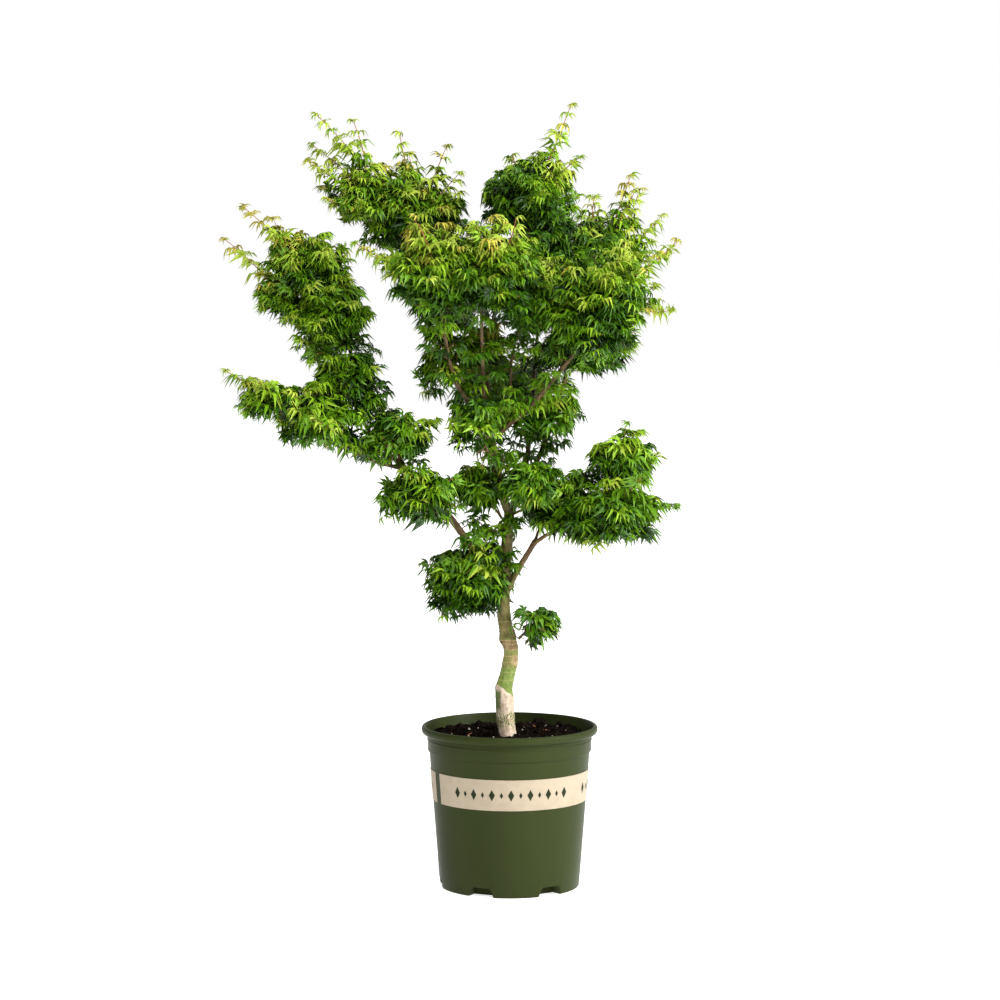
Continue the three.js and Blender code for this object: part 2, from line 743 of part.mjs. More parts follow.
const { limbs, guard } = growLimbs()
for (const [name, solid] of Object.entries(limbs)) {
  place(name, toGeometry(solid), name === 'trunk' ? 'bark' : 'youngWood')
}
Object.entries(masses).forEach(([name, spec], i) => {
  place(name, toGeometry(growMass(spec, firstSeed + i, guard)), 'leafGreen')
})

export default plant
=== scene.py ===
import math
import random

import bpy
import numpy as np
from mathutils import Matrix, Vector, noise


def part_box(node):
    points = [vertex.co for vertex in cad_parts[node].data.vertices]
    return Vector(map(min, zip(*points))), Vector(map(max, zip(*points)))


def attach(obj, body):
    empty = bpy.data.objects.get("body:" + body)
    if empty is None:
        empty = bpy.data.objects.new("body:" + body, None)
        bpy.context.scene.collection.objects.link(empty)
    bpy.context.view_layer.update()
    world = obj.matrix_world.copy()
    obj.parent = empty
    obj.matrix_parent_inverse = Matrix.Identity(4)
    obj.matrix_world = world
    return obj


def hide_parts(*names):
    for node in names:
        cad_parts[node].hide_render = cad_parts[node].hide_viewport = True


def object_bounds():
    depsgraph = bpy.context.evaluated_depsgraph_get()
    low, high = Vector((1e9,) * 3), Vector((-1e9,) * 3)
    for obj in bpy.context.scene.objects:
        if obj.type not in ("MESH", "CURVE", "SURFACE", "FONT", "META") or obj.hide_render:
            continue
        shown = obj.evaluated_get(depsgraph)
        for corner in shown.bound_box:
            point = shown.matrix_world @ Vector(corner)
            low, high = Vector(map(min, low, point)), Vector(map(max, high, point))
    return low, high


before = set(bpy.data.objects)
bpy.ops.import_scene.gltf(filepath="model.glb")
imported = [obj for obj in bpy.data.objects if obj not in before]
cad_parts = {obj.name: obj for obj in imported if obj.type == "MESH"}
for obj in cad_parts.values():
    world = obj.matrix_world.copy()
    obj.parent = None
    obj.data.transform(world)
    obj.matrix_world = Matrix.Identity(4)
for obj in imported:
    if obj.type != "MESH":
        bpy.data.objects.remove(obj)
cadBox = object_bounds()
up = Vector((0, 0, 1))


# small helpers for selecting, joining and handing pieces over

def objectMode():
    bpy.ops.object.mode_set(mode="OBJECT")


def deselect():
    if bpy.context.object and bpy.context.object.mode != "OBJECT":
        objectMode()
    bpy.ops.object.select_all(action="DESELECT")


def only(piece):
    deselect()
    piece.select_set(True)
    bpy.context.view_layer.objects.active = piece


def editMode(piece, mode="VERT"):
    only(piece)
    bpy.ops.object.mode_set(mode="EDIT")
    bpy.ops.mesh.select_mode(type=mode)


def pickAll():
    bpy.ops.mesh.select_all(action="SELECT")


def pickNone():
    bpy.ops.mesh.select_all(action="DESELECT")


def closeUp(merge=0):
    # the end of edit mode: doubles merged where that is asked, every face turned outwards
    pickAll()
    if merge:
        bpy.ops.mesh.remove_doubles(threshold=merge)
    bpy.ops.mesh.normals_make_consistent(inside=False)
    objectMode()


def joined(pieces, name):
    deselect()
    for piece in pieces:
        piece.select_set(True)
    bpy.context.view_layer.objects.active = pieces[0]
    bpy.ops.object.join()
    pieces[0].name = name
    return pieces[0]


def applied(piece, kind, **settings):
    only(piece)
    modifier = piece.modifiers.new(kind.title(), kind)
    for key, value in settings.items():
        setattr(modifier, key, value)
    bpy.ops.object.modifier_apply(modifier=modifier.name)


def settled(piece):
    only(piece)
    bpy.ops.object.transform_apply(location=True, rotation=True, scale=True)


def smoothByAngle(piece, degrees):
    only(piece)
    bpy.ops.object.shade_smooth_by_angle(angle=math.radians(degrees))


def handOver(piece, slot, material, *nodes):
    # every piece rides on the one body and stands for its solids
    piece.data.materials.clear()
    piece.data.materials.append(material)
    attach(piece, "root")
    if nodes:
        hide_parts(*nodes)


def meshFromArrays(name, points, faces):
    mesh = bpy.data.meshes.new(name)
    mesh.from_pydata(points, [], faces)
    mesh.update()
    piece = bpy.data.objects.new(name, mesh)
    bpy.context.scene.collection.objects.link(piece)
    return piece


def nodePoints(name):
    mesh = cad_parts[name].data
    co = np.empty(len(mesh.vertices) * 3)
    mesh.vertices.foreach_get("co", co)
    return co.reshape(-1, 3)


def angled(degrees, radius, z):
    # a point round the pot: 0 faces the front, and angles grow to the right
    turn = math.radians(degrees)
    return Vector((radius * math.sin(turn), -radius * math.cos(turn), z))


def unit(v):
    return v / max(np.linalg.norm(v), 1e-9)


def raised(height):
    return np.array((0, 0, height))


def bowed(a, lead, b, count):
    # a curve from a to b that leans towards its lead
    t = np.linspace(0, 1, count)[:, None]
    return (1 - t) ** 2 * a + 2 * t * (1 - t) * lead + t ** 2 * b


def reachOf(line):
    # how far along the line each of its points is
    steps = np.linalg.norm(np.diff(line, axis=0), axis=1)
    return np.concatenate(([0], np.cumsum(steps)))


def pointAt(line, reach, at):
    return np.array([np.interp(at, reach, line[:, k]) for k in range(3)])


class Strands:
    # thin wood as many-sided tubes, gathered into one mesh
    skew = (0.31, 0.87, 0.38)  # no strand runs this way

    def __init__(self):
        self.points, self.faces, self.count = [], [], 0

    def tube(self, line, radii, sides):
        along = np.gradient(line, axis=0)
        along /= np.linalg.norm(along, axis=1)[:, None]
        across = np.cross(along, self.skew)
        across /= np.linalg.norm(across, axis=1)[:, None]
        other = np.cross(along, across)
        thick = np.linspace(radii[0], radii[1], len(line))[:, None]
        turns = np.arange(sides) * 2 * math.pi / sides
        rings = [line + thick * (math.cos(t) * across + math.sin(t) * other) for t in turns]
        self.points.append(np.stack(rings, 1).reshape(-1, 3))
        rows, base = len(line), self.count
        for row in range(rows - 1):
            for k in range(sides):
                a, b = base + row * sides + k, base + row * sides + (k + 1) % sides
                self.faces.append((a, b, b + sides, a + sides))
        self.faces.append(tuple(base + k for k in reversed(range(sides))))
        self.faces.append(tuple(base + (rows - 1) * sides + k for k in range(sides)))
        self.count += rows * sides

    def piece(self, name):
        piece = meshFromArrays(name, np.concatenate(self.points), self.faces)
        smoothByAngle(piece, 60)
        return piece


# materials: all procedural, on object coordinates

def srgb(red, green, blue):
    def linear(value):
        value /= 255
        return value / 12.92 if value <= 0.04045 else ((value + 0.055) / 1.055) ** 2.4
    return (linear(red), linear(green), linear(blue), 1)


def stops(*marks):
    # each mark is a place on a ramp and its red, green and blue
    return [(place, srgb(*tone)) for place, *tone in marks]


class Finish:
    # a Principled material with its texture coordinates at hand
    def __init__(self, name, roughness, specular=0.5):
        self.material = bpy.data.materials.new(name)
        self.material.use_nodes = True
        self.nodes = self.material.node_tree.nodes
        self.links = self.material.node_tree.links
        self.shader = self.nodes["Principled BSDF"]
        self.shader.inputs["Roughness"].default_value = roughness
        self.shader.inputs["Specular IOR Level"].default_value = specular
        self.place = self.nodes.new("ShaderNodeTexCoord").outputs["Object"]

    def stretched(self, scale):
        mapping = self.nodes.new("ShaderNodeMapping")
        mapping.inputs["Scale"].default_value = scale
        self.links.new(self.place, mapping.inputs["Vector"])
        return mapping.outputs["Vector"]

    def noise(self, scale, detail=3, stretch=None, roughness=0.5):
        node = self.nodes.new("ShaderNodeTexNoise")
        node.inputs["Scale"].default_value = scale
        node.inputs["Detail"].default_value = detail
        node.inputs["Roughness"].default_value = roughness
        self.links.new(self.stretched(stretch) if stretch else self.place, node.inputs["Vector"])
        return node.outputs["Fac"]

    def ramp(self, factor, marks):
        node = self.nodes.new("ShaderNodeValToRGB")
        while len(node.color_ramp.elements) < len(marks):
            node.color_ramp.elements.new(0.5)
        for element, (position, color) in zip(node.color_ramp.elements, marks):
            element.position = position
            element.color = color
        self.links.new(factor, node.inputs["Fac"])
        return node.outputs["Color"]

    def math(self, operation, first, second):
        node = self.nodes.new("ShaderNodeMath")
        node.operation = operation
        for socket, value in zip(node.inputs, (first, second)):
            if isinstance(value, (int, float)):
                socket.default_value = value
            else:
                self.links.new(value, socket)
        return node.outputs["Value"]

    def times(self, first, second):
        return self.math("MULTIPLY", first, second)

    def rest(self, value):
        return self.math("SUBTRACT", 1, value)

    def blend(self, factor, first, second):
        node = self.nodes.new("ShaderNodeMix")
        node.data_type = "RGBA"
        # the Mix node's sockets for two colours are 6 and 7, and 2 is what comes out
        for index, value in ((0, factor), (6, first), (7, second)):
            if isinstance(value, (int, float, tuple)):
                node.inputs[index].default_value = value
            else:
                self.links.new(value, node.inputs[index])
        return node.outputs[2]

    def step(self, value, start, end):
        # 0 before start, 1 past end, smooth between
        node = self.nodes.new("ShaderNodeMapRange")
        node.interpolation_type = "SMOOTHSTEP"
        self.links.new(value, node.inputs["Value"])
        node.inputs["From Min"].default_value = start
        node.inputs["From Max"].default_value = end
        return node.outputs["Result"]

    def between(self, value, low, high, soft):
        rising = self.step(value, low - soft, low + soft)
        return self.times(rising, self.rest(self.step(value, high - soft, high + soft)))

    def near(self, point, size):
        # 1 at a point, 0 past its size
        node = self.nodes.new("ShaderNodeVectorMath")
        node.operation = "DISTANCE"
        self.links.new(self.place, node.inputs[0])
        node.inputs[1].default_value = point
        return self.rest(self.step(node.outputs["Value"], size * 0.6, size))

    def axes(self):
        node = self.nodes.new("ShaderNodeSeparateXYZ")
        self.links.new(self.place, node.inputs["Vector"])
        return node.outputs["X"], node.outputs["Y"], node.outputs["Z"]

    def color(self, source):
        self.links.new(source, self.shader.inputs["Base Color"])

    def clouded(self, dark, light, scale, detail=3, span=(0.35, 0.65), stretch=None):
        # two tones in soft clouds
        self.color(self.ramp(self.noise(scale, detail, stretch), stops((span[0], *dark), (span[1], *light))))

    def bump(self, height, strength, distance):
        node = self.nodes.new("ShaderNodeBump")
        node.inputs["Strength"].default_value = strength
        node.inputs["Distance"].default_value = distance
        self.links.new(height, node.inputs["Height"])
        self.links.new(node.outputs["Normal"], self.shader.inputs["Normal"])


def potPlastic():
    # satin olive plastic, a little cloudy, with a fine moulded grain
    finish = Finish("olivePlastic", 0.42, 0.04)
    finish.clouded((41, 47, 22), (45, 52, 25), 9, 4, (0.3, 0.7), (1, 1, 0.45))
    finish.bump(finish.noise(900, 2), 0.12, 0.0004)
    return finish.material


def bandInk():
    finish = Finish("beigeBand", 0.62, 0.3)
    finish.clouded((150, 137, 117), (158, 145, 124), 60, 4, (0.3, 0.7))
    finish.bump(finish.noise(1400, 2), 0.08, 0.0002)
    return finish.material


def bandMark():
    finish = Finish("darkGreenInk", 0.6, 0.05)
    finish.clouded((30, 36, 22), (38, 44, 28), 120, 3, (0.3, 0.7))
    return finish.material


def grit(name, dark, light, scale, roughness=0.95):
    # dull crumbs with no shine at all
    finish = Finish(name, roughness, 0)
    finish.clouded(dark, light, scale, 4, (0.35, 0.68))
    finish.bump(finish.noise(scale * 6, 3), 0.5, 0.0008)
    return finish.material


def barkSkin():
    # pale graft bark at the foot, smooth ringed green above it, a collar, then mottled brown wood
    finish = Finish("mapleBark", 0.68, 0.22)
    across, _, height = finish.axes()
    wander = finish.times(finish.math("SUBTRACT", finish.noise(60, 4), 0.5), bark["wander"])
    level = finish.math("ADD", height, wander)
    patches = finish.noise(75, 5, (1, 1, 0.7), 0.65)

    mottled = finish.ramp(finish.noise(95, 5, (1, 1, 0.6), 0.62), bark["mottle"])
    smooth = finish.ramp(finish.noise(38, 3), bark["green"])
    tone = finish.blend(finish.step(level, *bark["greenEnds"]), smooth, mottled)
    warm = finish.times(finish.between(level, *bark["warm"], 0.007), patches)
    tone = finish.blend(warm, tone, srgb(*bark["warmTone"]))
    collar = finish.between(level, *bark["collar"], 0.0015)
    tone = finish.blend(collar, tone, finish.ramp(patches, bark["collarTone"]))

    # thin pale rings where old buds were, and a scar on the right
    low, high = bark["ringSpan"]
    marks = []
    for ring, strength in bark["rings"]:
        place, half = (ring - low) / (high - low), bark["ringHalf"] / (high - low)
        marks += [(place - half, (0, 0, 0, 1)), (place, (strength, strength, strength, 1))]
        marks.append((place + half, (0, 0, 0, 1)))
    gentle = finish.math("ADD", height, finish.times(wander, 0.25))
    share = finish.math("DIVIDE", finish.math("SUBTRACT", gentle, low), high - low)
    tone = finish.blend(finish.ramp(share, sorted(marks)), tone, srgb(*bark["ringTone"]))
    tone = finish.blend(finish.near(bark["scar"], bark["scarSize"]), tone, srgb(*bark["scarTone"]))

    # the graft: its edge slants, with a mossy band below its swellings and a green stripe on the left
    slanted = finish.math("ADD", level, finish.times(across, bark["graftSlant"]))
    top, soft = bark["graftTop"], bark["graftSoft"]
    graft = finish.rest(finish.step(slanted, top - soft, top + soft))
    pale = finish.ramp(finish.noise(120, 4, (1, 1, 0.6)), bark["pale"])
    mossBand = finish.between(level, *bark["mossBand"], 0.006)
    mossPatch = finish.step(finish.noise(380, 4, (1, 1, 0.8), 0.6), 0.46, 0.54)
    cream = finish.step(finish.noise(330, 3), 0.6, 0.66)
    pale = finish.blend(finish.times(mossBand, mossPatch), pale, srgb(*bark["moss"]))
    pale = finish.blend(finish.times(mossBand, cream), pale, srgb(*bark["cream"]))
    side = finish.between(level, *bark["stripe"], 0.006)
    ragged = finish.math("ADD", across, finish.times(patches, 0.012))
    leftEdge = finish.rest(finish.step(ragged, *bark["stripeEdge"]))
    pale = finish.blend(finish.times(side, leftEdge), pale, srgb(*bark["stripeTone"]))
    tone = finish.blend(graft, tone, pale)

    # the boughs are browner than the trunk, and so is everything above the fork
    away = finish.step(finish.math("ABSOLUTE", across, 0), *bark["boughsOut"])
    bough = finish.times(away, finish.step(height, *bark["boughsUp"]))
    brown = finish.ramp(finish.noise(110, 5, (1, 1, 0.6), 0.6), bark["brown"])
    tone = finish.blend(finish.math("MAXIMUM", bough, finish.step(height, *bark["brownUp"])), tone, brown)

    # dark specks and fine cracks everywhere, fainter on the graft
    specks = finish.rest(finish.step(finish.noise(420, 4, (1, 1, 0.45), 0.6), 0.38, 0.48))
    strength = finish.math("SUBTRACT", 0.55, finish.times(graft, 0.25))
    finish.color(finish.blend(finish.times(specks, strength), tone, srgb(*bark["speck"])))
    finish.bump(finish.noise(320, 5, (1, 1, 0.5)), 0.55, 0.0012)
    return finish.material


def twigSkin(name, tone, other):
    finish = Finish(name, 0.6, 0.35)
    finish.clouded(tone, other, 120)
    finish.bump(finish.noise(500, 2), 0.3, 0.0004)
    return finish.material


def leafSkin(name, tone, other):
    finish = Finish(name, 0.45, 0.28)
    finish.clouded(tone, other, 70, 2)
    finish.bump(finish.noise(420, 2), 0.35, 0.0005)
    return finish.material


# the round nursery pot, sized from its solid
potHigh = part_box("pot")[1]
pot = {
    "segments": 144,
    "phase": 1.0,          # degrees, so that the band's ends fall on a segment
    "height": potHigh.z,
    "rim": potHigh.x,
    "base": 0.1205,
    "shoulder": 0.1384,
    "shoulderLevel": 0.236,
    "collar": 0.141,
    "line": 0.256,         # the fine moulded line round the collar
    "lipFoot": 0.2665,
    "wall": 0.003,
    "floor": 0.017,
    "notches": 6,
    "firstNotch": -24.5,   # degrees from the front
    "notchSize": (0.048, 0.026, 0.017),  # across at the foot, in from the wall, and up
    "notchTop": 0.036,     # across at its top
    "notchRound": 0.004,
    "notchPast": 0.02,     # how far a cutter stands out past the wall
    "soften": 0.0006,
}


def wallRadius(z):
    # the outside of the tapered body
    return pot["base"] + (pot["shoulder"] - pot["base"]) * z / pot["shoulderLevel"]


def turned(name, profile, closed=True):
    # a ring raised step by step along its profile by extrude and scale
    radius, level = profile[0]
    deselect()
    bpy.ops.mesh.primitive_circle_add(vertices=pot["segments"], radius=radius, location=(0, 0, level),
                                      rotation=(0, 0, math.radians(pot["phase"])),
                                      fill_type="NGON" if closed else "NOTHING")
    piece = bpy.context.object
    piece.name = name
    settled(piece)
    editMode(piece, "EDGE")
    pickAll()
    if closed:
        bpy.ops.mesh.region_to_loop()
    for nextRadius, nextLevel in profile[1:]:
        bpy.ops.mesh.extrude_region_move(TRANSFORM_OT_translate={"value": (0, 0, nextLevel - level)})
        grow = nextRadius / radius
        bpy.ops.transform.resize(value=(grow, grow, 1), center_override=(0, 0, nextLevel))
        radius, level = nextRadius, nextLevel
    if closed:
        bpy.ops.mesh.edge_face_add()
    closeUp(1e-6)
    return piece


def notchCutters():
    # tapered blocks with rounded tops, one for each notch at the foot
    wide, deep, tall = pot["notchSize"]
    length = deep + pot["notchPast"]
    below = 0.002
    cutters = []
    for step in range(pot["notches"]):
        degrees = pot["firstNotch"] + step * 360 / pot["notches"]
        deselect()
        bpy.ops.mesh.primitive_cube_add(size=1, scale=(wide, length, tall + below),
                                        location=(0, 0, (tall - below) / 2))
        cutter = bpy.context.object
        settled(cutter)
        editMode(cutter, "EDGE")
        pickNone()
        objectMode()
        for vertex in cutter.data.vertices:
            vertex.select = vertex.co.z > 0
        editMode(cutter, "VERT")
        bpy.ops.transform.resize(value=(pot["notchTop"] / wide, 1, 1), center_override=(0, 0, tall))
        objectMode()
        for edge in cutter.data.edges:
            a, b = (cutter.data.vertices[i].co for i in edge.vertices)
            edge.select = a.z > 0 and b.z > 0 and abs(a.x - b.x) < 1e-6
        editMode(cutter, "EDGE")
        bpy.ops.mesh.bevel(offset=pot["notchRound"], segments=4)
        objectMode()
        cutter.location = angled(degrees, pot["base"] - deep + length / 2, 0)
        cutter.rotation_euler = (0, 0, math.radians(degrees))
        settled(cutter)
        cutters.append(cutter)
    return joined(cutters, "notch_cutters")


def modelPot():
    rim, height, collar = pot["rim"], pot["height"], pot["collar"]
    inside = wallRadius(pot["shoulderLevel"]) - pot["wall"]
    profile = [
        (pot["base"] - 0.004, 0), (pot["base"] - 0.0012, 0.0008), (pot["base"] + 0.0001, 0.003),
        (wallRadius(0.05), 0.05), (wallRadius(0.15), 0.15), (pot["shoulder"], pot["shoulderLevel"]),
        (collar - 0.0006, pot["shoulderLevel"] + 0.0006), (collar, pot["shoulderLevel"] + 0.0016),
        (collar + 0.0001, pot["line"] - 0.0012), (collar + 0.0012, pot["line"] - 0.0004),
        (collar + 0.0014, pot["line"] + 0.0006), (collar + 0.0008, pot["line"] + 0.0014),
        (collar + 0.0016, pot["lipFoot"]), (rim - 0.0052, pot["lipFoot"] - 0.0002),
        (rim - 0.0026, pot["lipFoot"] + 0.0006), (rim - 0.0008, pot["lipFoot"] + 0.0026),
        (rim, pot["lipFoot"] + 0.0055), (rim - 0.0002, height - 0.004), (rim - 0.0012, height - 0.0016),
        (rim - 0.003, height - 0.0003), (rim - 0.0048, height), (rim - 0.0064, height - 0.0008),
        (rim - 0.0074, height - 0.0028), (rim - 0.0082, height - 0.008),
        (inside + 0.002, pot["shoulderLevel"] + 0.012), (inside, pot["shoulderLevel"]),
        (wallRadius(0.03) - pot["wall"], 0.03), (wallRadius(0.02) - pot["wall"] - 0.006, pot["floor"]),
    ]
    piece = turned("pot_body", profile)
    cutter = notchCutters()
    applied(piece, "BOOLEAN", operation="DIFFERENCE", object=cutter, solver="EXACT")
    bpy.data.objects.remove(cutter)
    applied(piece, "BEVEL", width=pot["soften"], segments=2, limit_method="ANGLE",
            angle_limit=math.radians(38))
    smoothByAngle(piece, 35)
    return piece


handOver(modelPot(), "pot", potPlastic(), "pot")
print("pot modelled")

# the printed band: two strips round the body, with a plain row of lozenges on each
band = {
    "bottom": 0.153,
    "top": 0.206,
    "clear": 0.00025,      # off the wall
    "thickness": 0.0005,
    "span": 172.5,         # degrees that one strip covers
    "starts": {"band_front": -61.5, "band_back": 118.5},
    "soften": 0.00012,
    "lozenge": (0.0052, 0.0098),
    "smaller": 0.55,       # the size of every second lozenge
    "thick": 0.0005,
    "border": 0.0014,
    "sunk": 0.0002,
    "bedded": 0.00028,     # how deep a lozenge sits in its strip
    "rows": [(62.5, 13, 7), (143, 5, 7)],  # middle in degrees past the start, how many, spacing
}


def modelStrip(name, start):
    steps = 4
    rise = (band["top"] - band["bottom"]) / steps
    levels = [band["bottom"] + i * rise for i in range(steps + 1)]
    piece = turned(name + "_strip", [(wallRadius(z) + band["clear"], z) for z in levels], closed=False)
    editMode(piece, "FACE")
    pickNone()
    objectMode()
    for face in piece.data.polygons:
        turn = math.degrees(math.atan2(face.center.x, -face.center.y))
        face.select = (turn - start) % 360 > band["span"]
    editMode(piece, "FACE")
    bpy.ops.mesh.delete(type="FACE")
    objectMode()
    applied(piece, "SOLIDIFY", thickness=band["thickness"], offset=1)
    applied(piece, "BEVEL", width=band["soften"], segments=1, limit_method="ANGLE",
            angle_limit=math.radians(50))
    smoothByAngle(piece, 40)
    return piece


def lozenge(degrees, scale):
    # a small flat lozenge with a sunk middle, laid on the tilted wall
    across, tall = band["lozenge"]
    level = (band["bottom"] + band["top"]) / 2
    deselect()
    bpy.ops.mesh.primitive_circle_add(vertices=4, radius=1, fill_type="NGON")
    mark = bpy.context.object
    editMode(mark, "FACE")
    pickAll()
    bpy.ops.transform.resize(value=(across * scale, tall * scale, 1))
    bpy.ops.mesh.extrude_region_move(TRANSFORM_OT_translate={"value": (0, 0, band["thick"])})
    bpy.ops.mesh.inset(thickness=band["border"] * scale)
    bpy.ops.transform.translate(value=(0, 0, -band["sunk"]))
    closeUp()
    tilt = math.atan2(wallRadius(band["top"]) - wallRadius(band["bottom"]), band["top"] - band["bottom"])
    outside = band["clear"] + band["thickness"] - band["bedded"]
    mark.rotation_euler = (math.pi / 2 + tilt, 0, math.radians(degrees))
    mark.location = angled(degrees, wallRadius(level) + outside, level)
    settled(mark)
    return mark


def modelMarks(name, start):
    marks = []
    for middle, count, spacing in band["rows"]:
        for place in range(count):
            offset = place - (count - 1) / 2
            scale = band["smaller"] if place % 2 else 1
            marks.append(lozenge(start + middle + offset * spacing, scale))
    return joined(marks, name + "_marks")


beige, ink = bandInk(), bandMark()
for name, start in band["starts"].items():
    handOver(modelStrip(name, start), "band", beige, name)
    handOver(modelMarks(name, start), "band", ink)
print("band modelled")

# the potting mix: a lumpy top, chips of bark lying on it, pale grains and a few dry needles
soil = {
    "level": 0.258,
    "edge": wallRadius(pot["shoulderLevel"]) + 0.0005,
    "depth": 0.03,
    "undercut": 0.012,
    "rings": 46,
    "border": 0.003,       # outside the last ring
    "pad": (0.02, 0.03),   # level ground round the trunk, and how far on the lumps set in
    "tilt": (0.012, 0.022),
    "lump": (28, 0.010),   # scale and height
    "crumb": (190, 0.0016),
    "trunkAt": (-0.002, 0),
    "trunkGap": 0.0155,
    "wallGap": 0.007,
    "chips": 3400,
    "chipLengths": [0.002, 0.003, 0.0035, 0.005, 0.007],
    "grains": 130,
    "grainSizes": (0.0007, 0.0015),
    "needle": (0.0011, 0.0006),
    "lying": 0.0022,       # how high a needle lies
    # dry needles: foot, tip and how high the middle bows
    "needles": [((-0.040, -0.062), (-0.027, -0.080), 0.003), ((-0.027, -0.080), (-0.005, -0.058), 0.004),
                ((0.052, 0.040), (0.070, 0.018), 0.003), ((-0.075, 0.030), (-0.052, 0.046), 0.003),
                ((0.020, 0.088), (0.046, 0.080), 0.004), ((0.090, -0.020), (0.104, -0.044), 0.003)],
    "seed": 5,
}


def soilHeight(x, y):
    pad, blend = soil["pad"]
    scale, height = soil["lump"]
    crumbScale, crumbHeight = soil["crumb"]
    settle = min(1, max(0, (math.hypot(x, y) - pad) / blend))
    lump = noise.fractal(Vector((x * scale, y * scale, 3.1)), 0.9, 2.1, 4) * height
    crumb = noise.noise(Vector((x * crumbScale, y * crumbScale, 0.4))) * crumbHeight
    return soil["level"] + settle * (lump + soil["tilt"][0] * x + soil["tilt"][1] * y) + crumb


def modelSoil():
    edge, level, depth = soil["edge"], soil["level"], soil["depth"]
    foot = edge - soil["undercut"]
    deselect()
    bpy.ops.mesh.primitive_circle_add(vertices=160, radius=foot, location=(0, 0, level - depth),
                                      fill_type="NGON")
    piece = bpy.context.object
    piece.name = "potting_mix"
    settled(piece)
    editMode(piece, "FACE")
    pickAll()
    bpy.ops.mesh.extrude_region_move(TRANSFORM_OT_translate={"value": (0, 0, depth)})
    bpy.ops.transform.resize(value=(edge / foot, edge / foot, 1), center_override=(0, 0, level))
    for _ in range(soil["rings"]):
        bpy.ops.mesh.inset(thickness=(edge - soil["border"]) / soil["rings"])
    bpy.ops.mesh.poke()
    closeUp()
    for vertex in piece.data.vertices:
        if vertex.co.z > level - 0.001:
            vertex.co.z = soilHeight(vertex.co.x, vertex.co.y)
    smoothByAngle(piece, 180)
    return piece


def scattered(name, count, seed, shape):
    # small closed solids strewn over the mix, joined as one mesh
    dice = random.Random(seed)
    points, faces = [], []
    for _ in range(count):
        radius = (soil["edge"] - soil["wallGap"]) * math.sqrt(dice.random())
        turn = dice.uniform(0, 2 * math.pi)
        spot = (radius * math.cos(turn), radius * math.sin(turn))
        if math.dist(spot, soil["trunkAt"]) < soil["trunkGap"]:
            continue
        start = len(points)
        points += shape(dice, Vector((*spot, soilHeight(*spot))))
        faces += [tuple(start + i for i in face) for face in boxFaces]
    return meshFromArrays(name, points, faces)


boxCorners = [(x, y, z) for z in (-1, 1) for x, y in ((-1, -1), (1, -1), (1, 1), (-1, 1))]
boxFaces = [(0, 3, 2, 1), (4, 5, 6, 7), (0, 1, 5, 4), (1, 2, 6, 5), (2, 3, 7, 6), (3, 0, 4, 7)]


def chip(dice, where):
    # a splinter of bark: a box with every corner knocked about, tipped a little and spun round
    length = dice.choice(soil["chipLengths"]) * dice.uniform(0.7, 1.3)
    sides = Vector((length, length * dice.uniform(0.35, 0.8), length * dice.uniform(0.2, 0.5)))
    turn = Vector((dice.gauss(0, 0.5), dice.gauss(0, 0.5), 1)).rotation_difference(up)
    spin = dice.uniform(0, math.pi)
    cosine, sine = math.cos(spin), math.sin(spin)
    corners = []
    for x, y, z in boxCorners:
        x *= sides.x * dice.uniform(0.6, 1)
        y *= sides.y * dice.uniform(0.5, 1)
        z *= sides.z * dice.uniform(0.6, 1)
        corner = Vector((x * cosine - y * sine, x * sine + y * cosine, z))
        corner.rotate(turn)
        corners.append(tuple(where + corner + up * sides.z * 0.4))
    return corners


def grain(dice, where):
    size = dice.uniform(*soil["grainSizes"])
    return [tuple(where + Vector(corner) * size * dice.uniform(0.6, 1) + up * 0.002)
            for corner in boxCorners]


def modelNeedles():
    needles = Strands()
    for foot, tip, bow in soil["needles"]:
        a, b = (np.array((*end, soilHeight(*end) + soil["lying"])) for end in (foot, tip))
        needles.tube(bowed(a, (a + b) / 2 + raised(bow), b, 9), soil["needle"], 6)
    return needles.piece("dry_needles")


handOver(modelSoil(), "soil", grit("pottingMix", (8, 7, 6), (19, 16, 13), 160), "soil")
chips = scattered("bark_chips", soil["chips"], soil["seed"], chip)
handOver(chips, "soil", grit("barkChip", (9, 8, 7), (27, 21, 17), 90, 0.85))
grains = scattered("pale_grains", soil["grains"], soil["seed"] + 1, grain)
handOver(grains, "soil", grit("paleGrain", (150, 140, 124), (196, 188, 174), 200))
handOver(modelNeedles(), "soil", twigSkin("dryNeedle", (132, 78, 46), (168, 108, 66)))
print("potting mix modelled")

